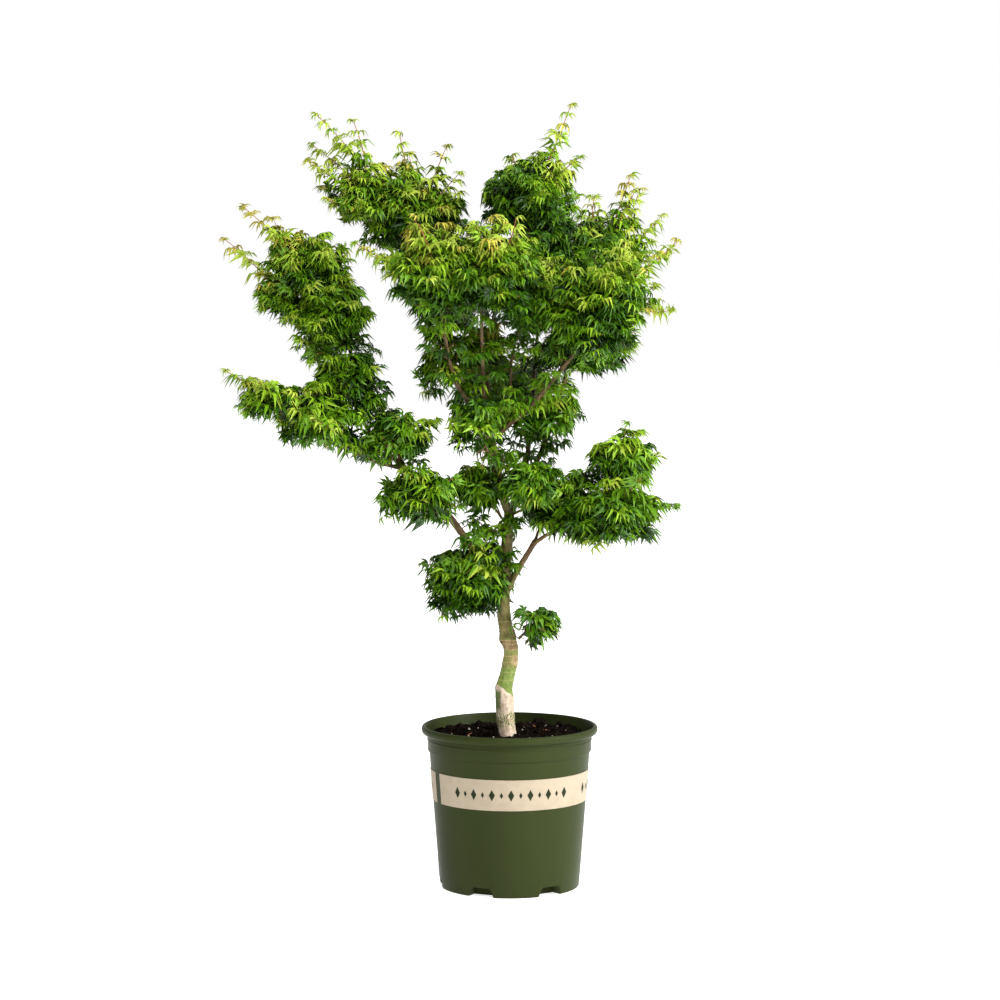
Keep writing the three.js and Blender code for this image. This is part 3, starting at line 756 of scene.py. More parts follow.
# the trunk and boughs: the solids' limbs fused into one skin, rounded, with the bark's relief
bark = {
    "skin": 0.0016,
    "rounds": 5,
    "swell": 0.0005,       # what the rounding takes off
    "furrow": (0.0008, 42, 0.35),  # depth, scale and stretch of the long furrows
    "pimple": (0.0004, 260),
    "ringed": (0.352, 0.47),
    "ringRelief": (0.0005, 520, 3, 40),  # depth, how close, and how far and how finely rings wander
    "trunkRadius": 0.013,
    # swellings on the trunk: level, degrees from the front, size and height
    "knots": [(0.346, -80, 0.010, 0.0062), (0.336, -88, 0.011, 0.0036), (0.3215, 84, 0.0105, 0.0066),
              (0.3205, 40, 0.008, 0.0012), (0.300, -30, 0.012, 0.0010), (0.374, -88, 0.012, -0.0026),
              (0.3575, -88, 0.010, -0.0034), (0.3575, 80, 0.009, 0.0034), (0.377, 84, 0.010, -0.0006),
              (0.3915, 86, 0.0075, 0.0046), (0.3865, -88, 0.006, 0.0034), (0.345, 80, 0.007, -0.0010),
              (0.418, 80, 0.008, 0.0010), (0.428, 82, 0.014, -0.0046), (0.426, -86, 0.016, 0.0062),
              (0.412, -86, 0.010, 0.0020), (0.417, 10, 0.012, 0.0012), (0.455, 5, 0.009, 0.0022),
              (0.470, -70, 0.014, 0.0014), (0.516, 60, 0.014, 0.0024), (0.560, -60, 0.012, 0.0020),
              (0.592, 30, 0.014, 0.0018), (0.266, 60, 0.018, 0.0016), (0.262, -60, 0.016, 0.0012)],
    "knotFall": 2.2,       # how fast a swelling dies out
    # and at the forks: place, size and height
    "forkKnots": [((-0.031, -0.030, 0.774), 0.014, 0.0024), ((-0.182, -0.058, 0.731), 0.012, 0.0022),
                  ((-0.114, -0.044, 0.656), 0.010, 0.0022), ((0.043, -0.018, 0.598), 0.009, 0.0016)],
    "wander": 0.012,       # how far the bark's edges stray up and down
    "mottle": stops((0.3, 62, 54, 28), (0.46, 96, 92, 48), (0.6, 116, 104, 62), (0.75, 150, 130, 92)),
    "green": stops((0.3, 104, 122, 54), (0.7, 118, 134, 66)),
    "greenEnds": (0.424, 0.434),
    "collar": (0.4115, 0.4285),
    "collarTone": stops((0.35, 84, 70, 42), (0.5, 128, 110, 74), (0.65, 156, 138, 100)),
    "ringSpan": (0.34, 0.48),
    "ringHalf": 0.0009,
    "ringTone": (186, 160, 118),
    # rings: level and strength
    "rings": [(0.3587, 0.5), (0.3724, 0.6), (0.3895, 0.85), (0.4005, 0.9), (0.4125, 0.8), (0.4215, 0.6),
              (0.4275, 0.8), (0.446, 0.4), (0.4605, 0.35)],
    "scar": (0.0105, -0.008, 0.393),
    "scarSize": 0.011,
    "scarTone": (150, 128, 92),
    "graftTop": 0.3355,
    "graftSoft": 0.0012,
    "graftSlant": 0.85,
    "pale": stops((0.3, 160, 138, 117), (0.5, 192, 172, 151), (0.7, 206, 188, 168)),
    "warm": (0.381, 0.410),
    "warmTone": (128, 108, 70),
    "mossBand": (0.277, 0.303),
    "moss": (88, 104, 46),
    "cream": (216, 200, 150),
    "stripe": (0.306, 0.342),
    "stripeEdge": (-0.0105, -0.0085),
    "stripeTone": (92, 104, 58),
    "boughsOut": (0.012, 0.03),
    "boughsUp": (0.5, 0.53),
    "brownUp": (0.63, 0.8),
    "brown": stops((0.3, 56, 42, 24), (0.5, 88, 68, 44), (0.7, 122, 98, 70)),
    "speck": (70, 52, 34),
}
thickLimbs = ["trunk", "leader_left", "leader_right", "bough_left", "bough_right"]
thinLimbs = [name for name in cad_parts
             if name.startswith(("bough_", "stem_", "twig_")) and name not in thickLimbs]


def limbCopy(name):
    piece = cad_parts[name].copy()
    piece.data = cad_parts[name].data.copy()
    piece.parent = None
    for key in list(piece.keys()):
        del piece[key]
    bpy.context.scene.collection.objects.link(piece)
    editMode(piece)
    closeUp(1e-5)
    return piece


def trunkCentre(level, count=24):
    # the middle of the solid's points that are nearest to a level
    co = nodePoints("trunk")
    near = np.argsort(abs(co[:, 2] - level))[:count]
    return Vector(co[near].mean(0))


def knotPlaces():
    places = []
    for level, degrees, size, height in bark["knots"]:
        centre = trunkCentre(level)
        spot = angled(degrees, bark["trunkRadius"], level)
        places.append((Vector((centre.x + spot.x, centre.y + spot.y, level)), size, height))
    return places + [(Vector(place), size, height) for place, size, height in bark["forkKnots"]]


def barkRelief(co, normal, knots):
    depth, scale, stretch = bark["furrow"]
    furrow = noise.fractal(Vector((co.x * scale, co.y * scale, co.z * scale * stretch)), 0.8, 2.0, 3)
    fine, fineScale = bark["pimple"]
    low, high = bark["ringed"]
    lift = depth * furrow + fine * noise.noise(co * fineScale)
    if low < co.z < high:
        ringDepth, close, far, finely = bark["ringRelief"]
        lift += ringDepth * math.sin(co.z * close + far * noise.noise(co * finely)) ** 6
    for spot, size, height in knots:
        away = (co - spot).length / size
        if away < 2:
            lift += height * math.exp(-bark["knotFall"] * away * away)
    return normal * lift


def limbSkin(name, nodes):
    copies = [limbCopy(node) for node in nodes]
    for piece in copies:
        applied(piece, "DISPLACE", strength=bark["swell"], mid_level=0)
    piece = joined(copies, name)
    applied(piece, "REMESH", mode="VOXEL", voxel_size=bark["skin"])
    applied(piece, "SMOOTH", factor=0.5, iterations=bark["rounds"])
    knots = knotPlaces()
    moved = [vertex.co + barkRelief(vertex.co, vertex.normal, knots) for vertex in piece.data.vertices]
    for vertex, place in zip(piece.data.vertices, moved):
        vertex.co = place
    smoothByAngle(piece, 180)
    return piece


handOver(limbSkin("bark_of_trunk", thickLimbs), "bark", barkSkin(), *thickLimbs)
stemBark = twigSkin("stemBark", (64, 50, 24), (110, 88, 52))
handOver(limbSkin("bark_of_boughs", thinLimbs), "young_wood", stemBark, *thinLimbs)
print("trunk and boughs modelled")

# the masses of leaves, as in the solids, in millimetres: the limb that bears it, its rounded lobes
# (middle and half-sizes), its longest shoots (where each leaves the mass, and its tip), then how
# bright and how full it is
# for the masses inside the crown the brightness is raised as painted light against the shade the outer
# masses cast on them
masses = {
    "upper_left": ("bough_left_upper", [(-312, 22, 987, 80, 108, 86), (-356, 7, 1079, 77, 89, 65),
                                        (-398, 10, 1016, 38, 52, 36)],
                   [((-373, 0, 1099), (-450, -12, 1168)), ((-414, 20, 1058), (-485, 24, 1113)),
                    ((-383, 0, 1105), (-402, 0, 1148)), ((-350, 60, 1080), (-372, 112, 1112))], 0.42, 1.0),
    "top_left": ("stem_left_back", [(-158, 71, 1148, 98, 99, 88), (-246, 59, 1186, 76, 73, 68)],
                 [((-223, 60, 1225), (-328, 37, 1325)), ((-244, 70, 1203), (-337, 76, 1275)),
                  ((-276, 50, 1196), (-340, 20, 1248)), ((-241, 40, 1145), (-308, 0, 1182)),
                  ((-240, 50, 1251), (-268, 50, 1316)), ((-174, 80, 1215), (-190, 85, 1296)),
                  ((-133, 60, 1217), (-109, 55, 1272)), ((-120, 50, 1191), (-88, 50, 1226)),
                  ((-160, 120, 1200), (-176, 168, 1262))], 0.33, 0.85),
    "centre_left": ("stem_left_front", [(-127, -128, 1064, 78, 92, 84)],
                    [((-200, -130, 1068), (-255, -134, 1108)), ((-146, -140, 1099), (-158, -146, 1152)),
                     ((-130, -180, 1100), (-150, -212, 1140))], 0.35, 1.0),
    "centre": ("stem_centre_front", [(-23, -122, 1062, 79, 87, 94)],
               [((-35, -130, 1110), (-57, -128, 1142)), ((0, -170, 1100), (10, -200, 1150))], 0.33, 1.0),
    "top": ("stem_centre_back", [(34, 24, 1182, 85, 103, 88), (68, 30, 1098, 44, 60, 40)],
            [((64, 20, 1235), (104, 12, 1342)), ((84, 0, 1226), (116, -8, 1252)),
             ((20, 90, 1220), (5, 140, 1258))], 0.31, 1.0),
    "back_right": ("stem_right_back", [(74, 149, 1039, 70, 82, 84), (162, 159, 1094, 86, 92, 72)],
                   [((177, 130, 1126), (211, 134, 1224)), ((184, 120, 1126), (216, 120, 1194)),
                    ((204, 150, 1129), (228, 150, 1200)), ((218, 146, 1092), (265, 146, 1155)),
                    ((228, 140, 1078), (272, 140, 1088)), ((140, 180, 1140), (150, 228, 1186))],
                   0.34, 0.72),
    "right": ("stem_right_front", [(152, -88, 1028, 96, 99, 78), (134, -88, 968, 78, 90, 62)],
              [((244, -80, 1067), (280, -70, 1112)), ((225, -90, 985), (265, -98, 996)),
               ((170, -150, 1060), (190, -190, 1110))], 0.31, 1.0),
    "right_low": ("leader_right", [(143, 81, 931, 76, 73, 62), (70, 56, 912, 36, 44, 30)], [], 0.30, 0.8),
    "mid_right": ("stem_centre_thin", [(54, -60, 1012, 64, 59, 84)], [], 0.38, 1.0),
    "inner_left": ("twig_inner_left", [(-117, -41, 898, 44, 52, 78), (-40, -50, 946, 50, 50, 34)],
                   [], 0.52, 0.42),
    "knob": ("twig_knob", [(-54, -90, 800, 50, 50, 60), (-34, -84, 748, 34, 30, 24)], [], 0.45, 0.5),
    "knob_right": ("twig_knob_right", [(72, 5, 802, 50, 52, 62)], [], 0.46, 0.45),
    "collar": ("twig_collar", [(40, -54, 696, 62, 54, 50)], [], 0.4, 0.65),
    "collar_left": ("trunk", [(-58, -15, 693, 54, 54, 45)],
                    [((-60, -10, 704), (-99, -20, 702))], 0.38, 0.65),
    "low_left": ("trunk", [(-67, -7, 523, 74, 80, 74)], [((-90, -30, 545), (-138, -40, 560))], 0.29, 1.0),
    "left_low": ("twig_left_low", [(-156, -81, 677, 64, 66, 54)],
                 [((-140, -90, 700), (-96, -90, 712)), ((-135, -80, 680), (-88, -80, 664))], 0.37, 0.7),
    "left_tip": ("bough_left_outer", [(-318, -90, 810, 74, 78, 58), (-398, -98, 842, 58, 61, 42)],
                 [((-412, -90, 854), (-473, -98, 893)), ((-380, -130, 850), (-420, -158, 880))],
                 0.37, 0.65),
    "left_mid": ("bough_left_middle", [(-280, -24, 872, 66, 68, 54), (-242, -36, 828, 32, 36, 24)],
                 [], 0.38, 0.85),
    "left_inner": ("twig_left_inner", [(-194, -68, 776, 60, 54, 45)],
                   [((-186, -70, 794), (-127, -70, 809))], 0.36, 0.85),
    "right_tip": ("bough_right_outer", [(170, -61, 649, 87, 78, 60)],
                  [((221, -60, 664), (275, -61, 663)), ((200, -100, 690), (222, -140, 722))], 0.33, 0.85),
    "right_inner": ("bough_right_inner", [(88, 27, 653, 74, 59, 60), (126, 10, 704, 36, 38, 22)],
                    [], 0.36, 0.75),
    "right_upper": ("bough_right_upper", [(196, -20, 739, 59, 60, 54)],
                    [((192, -20, 757), (199, -20, 800))], 0.34, 0.85),
    "sprig": ("trunk", [(46, -10, 451, 49, 35, 35)], [], 0.30, 1.0),
    "back_left": ("stem_back_left", [(-112, 222, 1015, 72, 94, 88)],
                  [((-115, 270, 1045), (-121, 312, 1075))], 0.36, 0.9),
    "back": ("stem_back_low", [(-16, 217, 846, 88, 85, 84)], [((0, 265, 865), (22, 306, 886))], 0.36, 0.9),
}
sprays = {
    "seed": 11,
    "perPiece": 3900,      # leaves joined in one mesh
    "perArea": 500,        # shoots for each square metre of a lobe's skin
    "stem": (0.0026, 0.0015),
    "shoot": (0.0012, 0.0005),
    "sideShoot": (0.0008, 0.0005),
    "longShoot": (0.0015, 0.0006),
    "stalk": (0.0005, 0.0004),
    "springs": (0.1, 1.0),
    "ends": (0.5, 1.14),
    "growOn": 0.2,         # how far shoots lean the way their mass grows
    "arch": 0.1,           # how far a shoot bows up, for its length
    "stray": 0.005,
    "bare": 0.3,           # the share of a shoot that has no leaves
    "pairGap": 0.0165,
    "turns": (-0.35, 0.5),  # pairs are turned about their shoot one way, then the other
    "turnStray": 0.3,
    "aside": 0.85,
    "ahead": 0.45,
    "lastSize": 0.85,      # of the leaf at a shoot's tip
    "young": 0.55,         # tones that a shoot gains by its tip
    "sideShoots": 2,
    "sideLength": (0.016, 0.032),
    "sideBow": 0.004,
    "sideBare": 0.5,
    "sideSize": 0.92,
    "sideDarker": 0.4,     # how often a side shoot is a tone darker
    "sag": 0.004,          # leaves weigh a shoot's end down
    "reach": 1.2,          # how far out in its lobe a leaf's tip may go
    "fill": 0.9,           # the lobes' half-sizes that shoots keep to
    "edge": 0.012,         # how far inside the solids' box a shoot ends
    "margin": 0.004,       # how far past the box a leaf may reach
    "longBare": 0.34,      # the share of a long shoot that runs inside its mass
    "longGap": 0.020,
    "longSize": 1.15,
    "longTaper": 0.55,
    "change": 0.34,        # how often a leaf is a tone off its neighbours
    # painted light and shade in the leaves' tone: paler upwards and outwards in a lobe, darker deep inside
    # it
    "paler": (0.17, 0.3, 0.85),  # upwards, outwards, and the depth where that turns
    "fresh": (0.28, 0.045),      # how much paler sprays are beside the long shoots, and how near
    "youth": (0.75, 1.0),        # and the levels over which that sets in
    "lowSize": (1.2, 0.25, 0.6, 0.5),  # low leaves' size, what it loses upwards, from where, over what
}
# short leafy twigs straight on the limbs: the share of the limb that carries them and their spacing,
# then the limbs where they lean to one side
stemSprays = {
    "length": (0.018, 0.055),
    "wood": (0.001, 0.0005),
    "space": 0.06,
    "turn": 2.4,           # radians from one twig to the next, round the limb
    "stray": 0.4,
    "rise": (0.05, 0.6),
    "tone": 2,
    "darker": 0.35,        # how often a twig is a tone darker
    "bare": 0.35,
    "size": 0.85,
    "runs": {
        "stem_left_front": (0.1, 0.95, 0.019), "stem_left_back": (0.1, 0.95, 0.022),
        "stem_centre_front": (0.06, 0.95, 0.019), "stem_centre_back": (0.06, 0.95, 0.021),
        "stem_right_front": (0.1, 0.95, 0.019), "stem_right_back": (0.12, 0.95, 0.024),
        "leader_right": (0.12, 0.95, 0.017), "leader_left": (0.0, 0.95, 0.017),
        "stem_centre_thin": (0.05, 0.95, 0.018), "bough_left_upper": (0.12, 0.95, 0.022),
        "bough_left_middle": (0.12, 0.95, 0.022), "bough_left_outer": (0.12, 0.95, 0.013),
        "bough_right_upper": (0.12, 0.95, 0.021), "bough_left": (0.1, 0.5, 0.026),
        "trunk": (0.76, 1.0, 0.010), "bough_right_outer": (0.35, 1.0, 0.014),
        "bough_right_inner": (0.4, 1.0, 0.014),
    },
    "leans": {"leader_left": (-0.3, -0.3), "bough_left": (0, -0.4), "trunk": (-0.9, -0.5),
              "bough_right_outer": (0.2, 0), "bough_right_inner": (0.4, 0)},
}
leafShape = {
    "lobes": [(0, 1.0), (37, 0.97), (-37, 0.97), (78, 0.84), (-78, 0.84)],
    "basal": [(122, 0.42), (-122, 0.42)],  # both as degrees from the middle, and length
    "stray": 4,            # degrees
    "basalStray": 6,
    "basalDrop": 0.2,
    "vary": (0.88, 1.1),
    "halfWidth": 0.134,
    "edge": [(0.28, 0.75), (0.56, 1.0), (0.66, 0.6)],  # points of a toothed edge: how far out, how wide
    "rib": 0.52,
    "fold": 0.4,
    "rise": (0.25, 0.55),  # a lobe rises a little from the stalk
    "drop": (0.35, 1.1),   # and arches down to its tip
    "dropVary": (0.7, 1.35),
    "arch": 2.3,
    "sway": 0.16,
    "crinkle": 0.03,
    "variants": 12,
    "length": (0.025, 0.036),
    "petiole": (0.005, 0.011),
    "stalkRise": 0.3,
    "lookOut": (0.35, 0.25),  # how far a leaf points out of its mass, and how far it strays
    "outward": 0.28,       # how far its face turns out of its mass
    "hang": (-0.5, 0.2),   # radians below level
    "roll": 0.45,
}
leafTones = [
    ("deep", (18, 44, 0), (28, 60, 0)),
    ("dark", (42, 80, 0), (56, 96, 0)),
    ("mid", (74, 114, 2), (88, 130, 8)),
    ("bright", (110, 148, 18), (126, 160, 32)),
    ("lime", (142, 164, 42), (158, 176, 62)),
    ("amber", (158, 154, 50), (170, 160, 60)),
]
rng = np.random.default_rng(sprays["seed"])
boxLow, boxHigh = (np.array(corner) for corner in cadBox)


def footOf(mass, limb):
    # where the solid of a mass meets its limb
    own, other = nodePoints("foliage_" + mass), nodePoints(limb)
    apart = np.sqrt(((own[:, None] - other[None]) ** 2).sum(2)).min(1)
    return own[apart < max(0.0012, apart.min() + 0.0008)].mean(0)


def limbLine(name, count=9):
    # the middle line of a limb's solid, from its foot to its tip
    co = nodePoints(name)
    centred = co - co.mean(0)
    main = np.linalg.svd(centred, full_matrices=False)[2][0]
    main *= np.sign(main[2] + 0.2 * main[0]) or 1
    along = centred @ main
    edges = np.linspace(along.min() - 1e-6, along.max() + 1e-6, count + 1)
    inBand = [(along >= a) & (along < b) for a, b in zip(edges[:-1], edges[1:])]
    return np.array([co[band].mean(0) for band in inBand if band.any()])


def direction(i):
    # evenly spread over a sphere, however many are drawn
    plastic = 1.3247179572447458
    z = 1 - 2 * ((0.5 + i / plastic) % 1)
    turn = 2 * math.pi * ((0.5 + i / plastic ** 2) % 1)
    level = math.sqrt(1 - z * z)
    return np.array((level * math.cos(turn), level * math.sin(turn), z))


def leafLobe(points, faces, degrees, length, drop):
    # a pointed lobe with toothed edges, folded up from its rib, that arches down to its tip
    turn = math.radians(degrees + rng.normal(0, leafShape["stray"]))
    length *= rng.uniform(*leafShape["vary"])
    ahead = np.array((math.sin(turn), math.cos(turn), 0))
    aside = np.array((math.cos(turn), -math.sin(turn), 0))
    half = leafShape["halfWidth"] * (0.55 + 0.45 * length) * rng.uniform(0.9, 1.1)
    sway = rng.normal(0, leafShape["sway"])
    rise = rng.uniform(*leafShape["rise"])

    def spot(s, out=0, lift=0):
        level = rise * s - (rise + drop) * s ** leafShape["arch"]
        reach = s * (1 - 0.25 * drop * s * s)
        flat = ahead * reach * length + aside * (out + sway * s * s)
        return tuple(flat + raised(lift + level * length))

    rib = len(points)
    points += [spot(leafShape["rib"]), spot(1)]
    for hand in (-1, 1):
        a = len(points)
        for s, width in leafShape["edge"]:
            out = half * width
            lift = out * leafShape["fold"] + rng.normal(0, leafShape["crinkle"])
            points.append(spot(s, hand * out, lift))
        side = [(0, a, rib), (a, a + 1, rib), (a + 1, a + 2, rib), (a + 2, rib + 1, rib)]
        faces += side if hand > 0 else [face[::-1] for face in side]


def basalLobe(points, faces, degrees, length):
    # the small lobes beside the stalk are plain slips
    turn = math.radians(degrees + rng.normal(0, leafShape["basalStray"]))
    ahead = np.array((math.sin(turn), math.cos(turn), -leafShape["basalDrop"])) * length
    aside = np.array((math.cos(turn), -math.sin(turn), 0)) * leafShape["halfWidth"] * 0.6
    start = len(points)
    points += [tuple(0.5 * ahead - aside), tuple(ahead), tuple(0.5 * ahead + aside)]
    faces += [(0, start + 1, start), (0, start + 2, start + 1)]


def leafTemplate():
    points, faces = [(0, 0, 0)], []
    drop = rng.uniform(*leafShape["drop"])
    for degrees, length in leafShape["lobes"]:
        leafLobe(points, faces, degrees, length, drop * rng.uniform(*leafShape["dropVary"]))
    for degrees, length in leafShape["basal"]:
        basalLobe(points, faces, degrees, length)
    return np.array(points), np.array(faces)


templates = [leafTemplate() for _ in range(leafShape["variants"])]


class Foliage:
    # every leaf's place, turn, size and tone, kept until the meshes are made
    def __init__(self):
        self.leaves = [[] for _ in leafTones]
        self.petioles, self.wood, self.shoots = Strands(), Strands(), Strands()

    def leaf(self, node, away, outward, tone, lobe, size=1.0):
        shape = leafShape
        middle, halves = lobe
        most, less, lowest, rise = sprays["lowSize"]
        size *= most - less * min(1, max(0, (node[2] - lowest) / rise))
        long = rng.uniform(*shape["length"]) * size
        stalk = rng.uniform(*shape["petiole"]) * size
        out, stray = shape["lookOut"]
        base = node + unit(away + raised(shape["stalkRise"])) * stalk
        flat = unit((away + out * outward + rng.normal(0, stray, 3)) * (1, 1, 0))
        hang = rng.uniform(*shape["hang"])
        heading = flat * math.cos(hang) - raised(math.sin(hang))
        tip = base + heading * long * 0.9 - raised(0.4 * long)
        if np.linalg.norm((tip - middle) / halves) > sprays["reach"]:
            return
        if (tip < boxLow - sprays["margin"]).any() or (tip > boxHigh + sprays["margin"]).any():
            return
        normal = raised(1) + shape["outward"] * outward + rng.normal(0, shape["roll"], 3)
        normal = unit(normal - heading * normal.dot(heading))
        side = np.cross(heading, normal)
        self.leaves[tone].append((base, np.stack((side, heading, normal)), long))
        self.petioles.tube(np.stack((node, base)), sprays["stalk"], 3)


def youth(level):
    # young growth is pale in the upper crown only
    low, high = sprays["youth"]
    return min(1, max(0, (level - low) / (high - low)))


def toneOf(bright, spot, lobe, youngWood):
    # paler at the top and outside and darker inside and underneath, which is painted light and shade; paler
    # beside the long young shoots, which is the young growth's own colour
    middle, halves = lobe
    place = (spot - middle) / halves
    depth = min(1.0, np.linalg.norm(place))
    upwards, outwards, turning = sprays["paler"]
    value = bright + upwards * place[2] + outwards * (depth - turning) + rng.normal(0, 0.05)
    if len(youngWood):
        most, near = sprays["fresh"]
        gap = np.linalg.norm(youngWood - spot, axis=1).min()
        value += most * youth(spot[2]) * math.exp(-(gap / near) ** 2)
    palest = 3 + int(2 * youth(spot[2]))
    return min(palest, clampTone(round(value * len(leafTones) - 0.3)))


def clampTone(tone):
    return int(np.clip(tone, 0, len(leafTones) - 1))


def sprayAlong(green, line, tone, lobe, bare, size=1.0, fresher=0, taper=0.3, gap=sprays["pairGap"]):
    # opposite pairs of leaves along a shoot, turned by turns, and one at its tip
    middle, halves = lobe
    reach = reachOf(line)
    total = reach[-1]
    count = max(1, round(total * (1 - bare) / gap))
    for pair in range(count + 1):
        at = total * (bare + (1 - bare) * pair / count)
        spot = pointAt(line, reach, at)
        k = min(len(line) - 2, int(np.searchsorted(reach, at)))
        along = unit(line[k + 1] - line[k])
        across = unit(np.cross(along, (0, 0, 1)))
        lifted = np.cross(across, along)
        turn = sprays["turns"][pair % 2] + rng.normal(0, sprays["turnStray"])
        outward = unit((spot - middle) / halves)
        young = round(fresher * pair / count)
        shrink = 1 - taper * (pair / count) ** 1.5
        for hand in (-1, 1):
            aside = hand * (across * math.cos(turn) + lifted * math.sin(turn))
            change = int(rng.random() < sprays["change"]) * rng.choice((-1, 1))
            away = unit(sprays["aside"] * aside + sprays["ahead"] * along)
            green.leaf(spot, away, outward, clampTone(tone + change + young), lobe, size * shrink)
        if pair == count:
            last = size * shrink * sprays["lastSize"]
            green.leaf(spot, along, outward, clampTone(tone + young), lobe, last)


def inBox(point):
    return np.clip(point, boxLow + sprays["edge"], boxHigh - sprays["edge"])


def skinArea(a, b, c):
    # of a rounded lobe, by the usual near formula
    power = 1.6
    return 4 * math.pi * (((a * b) ** power + (b * c) ** power + (c * a) ** power) / 3) ** (1 / power)


def fillLobe(green, way, lobe, bright, full, youngWood, index):
    middle, halves = lobe
    grow = unit(middle - way[0])
    for i in range(int(skinArea(*halves) * full * sprays["perArea"])):
        at = rng.uniform(*sprays["springs"])
        start = way[int(at * (len(way) - 1))]
        aim = unit(direction(i + index * 7) + sprays["growOn"] * grow)
        end = middle + aim * halves * sprays["fill"] * rng.uniform(*sprays["ends"])
        end = inBox(end - raised(sprays["sag"]))
        bow = raised(sprays["arch"] * np.linalg.norm(end - start))
        lead = (start + end) / 2 + bow + rng.normal(0, sprays["stray"], 3)
        line = bowed(start, lead, end, 7)
        green.wood.tube(line, sprays["shoot"], 4)
        tone = toneOf(bright, end, lobe, youngWood)
        sprayAlong(green, line, tone, lobe, sprays["bare"], fresher=sprays["young"])
        for shoot in range(sprays["sideShoots"]):
            k = int(rng.integers(2, 6))
            along = unit(line[k + 1] - line[k])
            across = unit(np.cross(along, (0, 0, 1))) * (1 if shoot % 2 else -1)
            aim = unit(0.8 * along + across + rng.normal(0, 0.35, 3))
            tip = inBox(line[k] + aim * rng.uniform(*sprays["sideLength"]))
            sideLine = bowed(line[k], (line[k] + tip) / 2 + raised(sprays["sideBow"]), tip, 3)
            green.wood.tube(sideLine, sprays["sideShoot"], 3)
            sideTone = clampTone(tone - int(rng.random() < sprays["sideDarker"]))
            sprayAlong(green, sideLine, sideTone, lobe, sprays["sideBare"], sprays["sideSize"])


def longShoot(green, middle, leaves, tip, bright):
    # a young shoot that runs straight out of its mass, its leaves ever smaller towards the tip
    line = bowed(middle, leaves, tip, 12)
    green.shoots.tube(line, sprays["longShoot"], 5)
    half = 0.6 * np.linalg.norm(tip - middle) + 0.03
    space = ((middle + tip) / 2, np.full(3, half))
    young = youth(tip[2])
    fresh = clampTone(round(bright * len(leafTones) + 0.2 + 1.1 * young))
    sprayAlong(green, line, fresh, space, sprays["longBare"], sprays["longSize"], 1.3 * young,
               sprays["longTaper"], sprays["longGap"])


def growMass(green, name, spec):
    limb, lobes, shoots, bright, full = spec
    foot = footOf(name, limb)
    spaces = [(np.array(lobe[:3]) / 1000, np.array(lobe[3:]) / 1000) for lobe in lobes]
    first = spaces[0][0]
    lead = foot + 0.4 * (first - foot) + raised(0.006)
    ways = [bowed(foot, lead, first, 9)]
    ways += [bowed(first, (first + middle) / 2 + raised(0.01), middle, 7) for middle, _ in spaces[1:]]
    shoots = np.array(shoots) / 1000
    youngWood = [leaves + share * (tip - leaves) for leaves, tip in shoots for share in (0, 0.5, 1)]
    for index, (way, lobe) in enumerate(zip(ways, spaces)):
        green.wood.tube(way, sprays["stem"], 6)
        fillLobe(green, way, lobe, bright, full, youngWood, index)
    for leaves, tip in shoots:
        middle = min((middle for middle, _ in spaces), key=lambda m: np.linalg.norm(m - leaves))
        longShoot(green, middle, leaves, tip, bright)


def growOnStems(green, name, run):
    # short leafy twigs straight on a limb, all the way round it or to one side
    low, high, gap = run
    leanX, leanY = stemSprays["leans"].get(name, (0, 0))
    line = limbLine(name)
    reach = reachOf(line)
    for i, at in enumerate(np.arange(low * reach[-1], high * reach[-1], gap)):
        root = pointAt(line, reach, at)
        turn = i * stemSprays["turn"] + rng.normal(0, stemSprays["stray"])
        rise = rng.uniform(*stemSprays["rise"])
        aim = unit(np.array((math.cos(turn) + leanX, math.sin(turn) + leanY, rise)))
        tip = inBox(root + aim * rng.uniform(*stemSprays["length"]))
        shoot = bowed(root, (root + tip) / 2 + raised(sprays["sideBow"]), tip, 5)
        green.wood.tube(shoot, stemSprays["wood"], 4)
        space = (tip, np.full(3, stemSprays["space"]))
        tone = stemSprays["tone"] - int(rng.random() < stemSprays["darker"])
        sprayAlong(green, shoot, tone, space, stemSprays["bare"], stemSprays["size"])


def leafPieces(green):
    # the leaves of each tone, joined into pieces that stay light enough
    made, limit = [], sprays["perPiece"]
    for tone, leaves in enumerate(green.leaves):
        for part in range(0, len(leaves), limit):
            points, faces, count = [], [], 0
            for index, (base, turn, long) in enumerate(leaves[part:part + limit]):
                shape, corners = templates[index % len(templates)]
                points.append(base + (shape * long) @ turn)
                faces.append(corners + count)
                count += len(shape)
            name = f"leaves_{leafTones[tone][0]}_{part // limit}"
            piece = meshFromArrays(name, np.concatenate(points), np.concatenate(faces).tolist())
            smoothByAngle(piece, 180)
            made.append((piece, tone))
    return made


green = Foliage()
for name, spec in masses.items():
    growMass(green, name, spec)
for name, run in stemSprays["runs"].items():
    growOnStems(green, name, run)
counts = [len(leaves) for leaves in green.leaves]
print("leaves grown:", sum(counts), counts)
skins = [leafSkin(name + "Leaf", tone, other) for name, tone, other in leafTones]
allMasses = ["foliage_" + name for name in masses]
for index, (piece, tone) in enumerate(leafPieces(green)):
    handOver(piece, "foliage", skins[tone], *(allMasses if index == 0 else []))
for strands, name, slot, skin in (
        (green.wood, "twigs", "young_wood", twigSkin("twigBark", (92, 66, 40), (116, 88, 54))),
        (green.shoots, "young_shoots", "young_wood", twigSkin("redShoot", (134, 70, 48), (152, 96, 56))),
        (green.petioles, "leaf_stalks", "foliage", twigSkin("leafStalk", (126, 120, 44), (146, 104, 56)))):
    handOver(strands.piece(name), slot, skin)
print("foliage modelled")

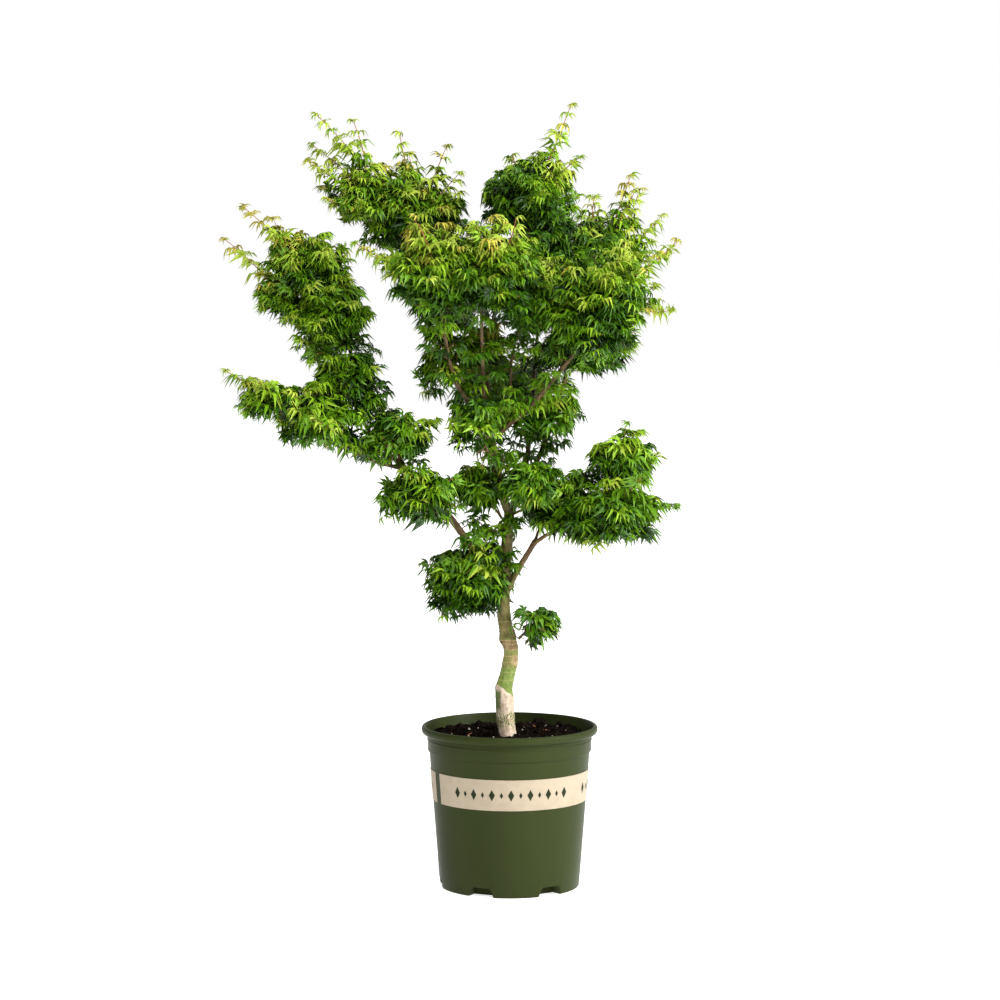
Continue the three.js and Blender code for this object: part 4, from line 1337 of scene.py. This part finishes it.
# a pale floor, a white surround that is dimmer in front, a soft key from the right and a high fill
studio = {
    "floor": 30,
    "floorGlow": 0.75,
    "key": {"at": (4.2, -1.6, 2.3), "size": 1.7, "power": 330},
    "fill": {"at": (0.4, -3.6, 4.3), "size": 1.6, "power": 250},
    "aim": (-0.1, 0, 0.75),
    "brightSide": (0.5, 0.85, 0),
    "surround": {"From Min": -0.3, "From Max": 0.7, "To Min": 0.22, "To Max": 1.0},
    "camera": (-0.0165, -5.5, 1.133),
    "pitch": 4.82,
    "lens": 115.8,
    "sensor": 36,
}
deselect()
bpy.ops.mesh.primitive_plane_add(size=studio["floor"], location=(0, 0, 0))
floor = bpy.context.object
floor.name = "studio_floor"
paper = Finish("palePaper", 0.95, 0.1)
paper.clouded((249, 249, 249), (252, 252, 252), 4, 2, (0.3, 0.7))
paper.shader.inputs["Emission Color"].default_value = (1, 1, 1, 1)
paper.shader.inputs["Emission Strength"].default_value = studio["floorGlow"]
floor.data.materials.append(paper.material)


def areaLight(name, at, size, power):
    deselect()
    bpy.ops.object.light_add(type="AREA", location=at)
    lamp = bpy.context.object
    lamp.name = name
    lamp.data.size = size
    lamp.data.energy = power
    ahead = Vector(studio["aim"]) - Vector(at)
    lamp.rotation_euler = ahead.to_track_quat("-Z", "Y").to_euler()


areaLight("key_light", **studio["key"])
areaLight("fill_light", **studio["fill"])
world = bpy.context.scene.world or bpy.data.worlds.new("surround")
bpy.context.scene.world = world
world.use_nodes = True
tree = world.node_tree
background = tree.nodes["Background"]
background.inputs["Color"].default_value = (1, 1, 1, 1)
heading = tree.nodes.new("ShaderNodeVectorMath")
heading.operation = "DOT_PRODUCT"
heading.inputs[1].default_value = studio["brightSide"]
tree.links.new(tree.nodes.new("ShaderNodeTexCoord").outputs["Generated"], heading.inputs[0])
glow = tree.nodes.new("ShaderNodeMapRange")
glow.interpolation_type = "SMOOTHSTEP"
for socket, value in studio["surround"].items():
    glow.inputs[socket].default_value = value
tree.links.new(heading.outputs["Value"], glow.inputs["Value"])
seen = tree.nodes.new("ShaderNodeMath")  # the camera itself sees plain white
seen.operation = "MAXIMUM"
tree.links.new(glow.outputs["Result"], seen.inputs[0])
tree.links.new(tree.nodes.new("ShaderNodeLightPath").outputs["Is Camera Ray"], seen.inputs[1])
tree.links.new(seen.outputs["Value"], background.inputs["Strength"])

deselect()
bpy.ops.object.camera_add(location=studio["camera"], rotation=(math.radians(90 - studio["pitch"]), 0, 0))
camera = bpy.context.object
camera.data.lens = studio["lens"]
camera.data.sensor_width = studio["sensor"]
bpy.context.scene.camera = camera
bpy.context.scene.view_settings.view_transform = "Standard"

print("scene ready")
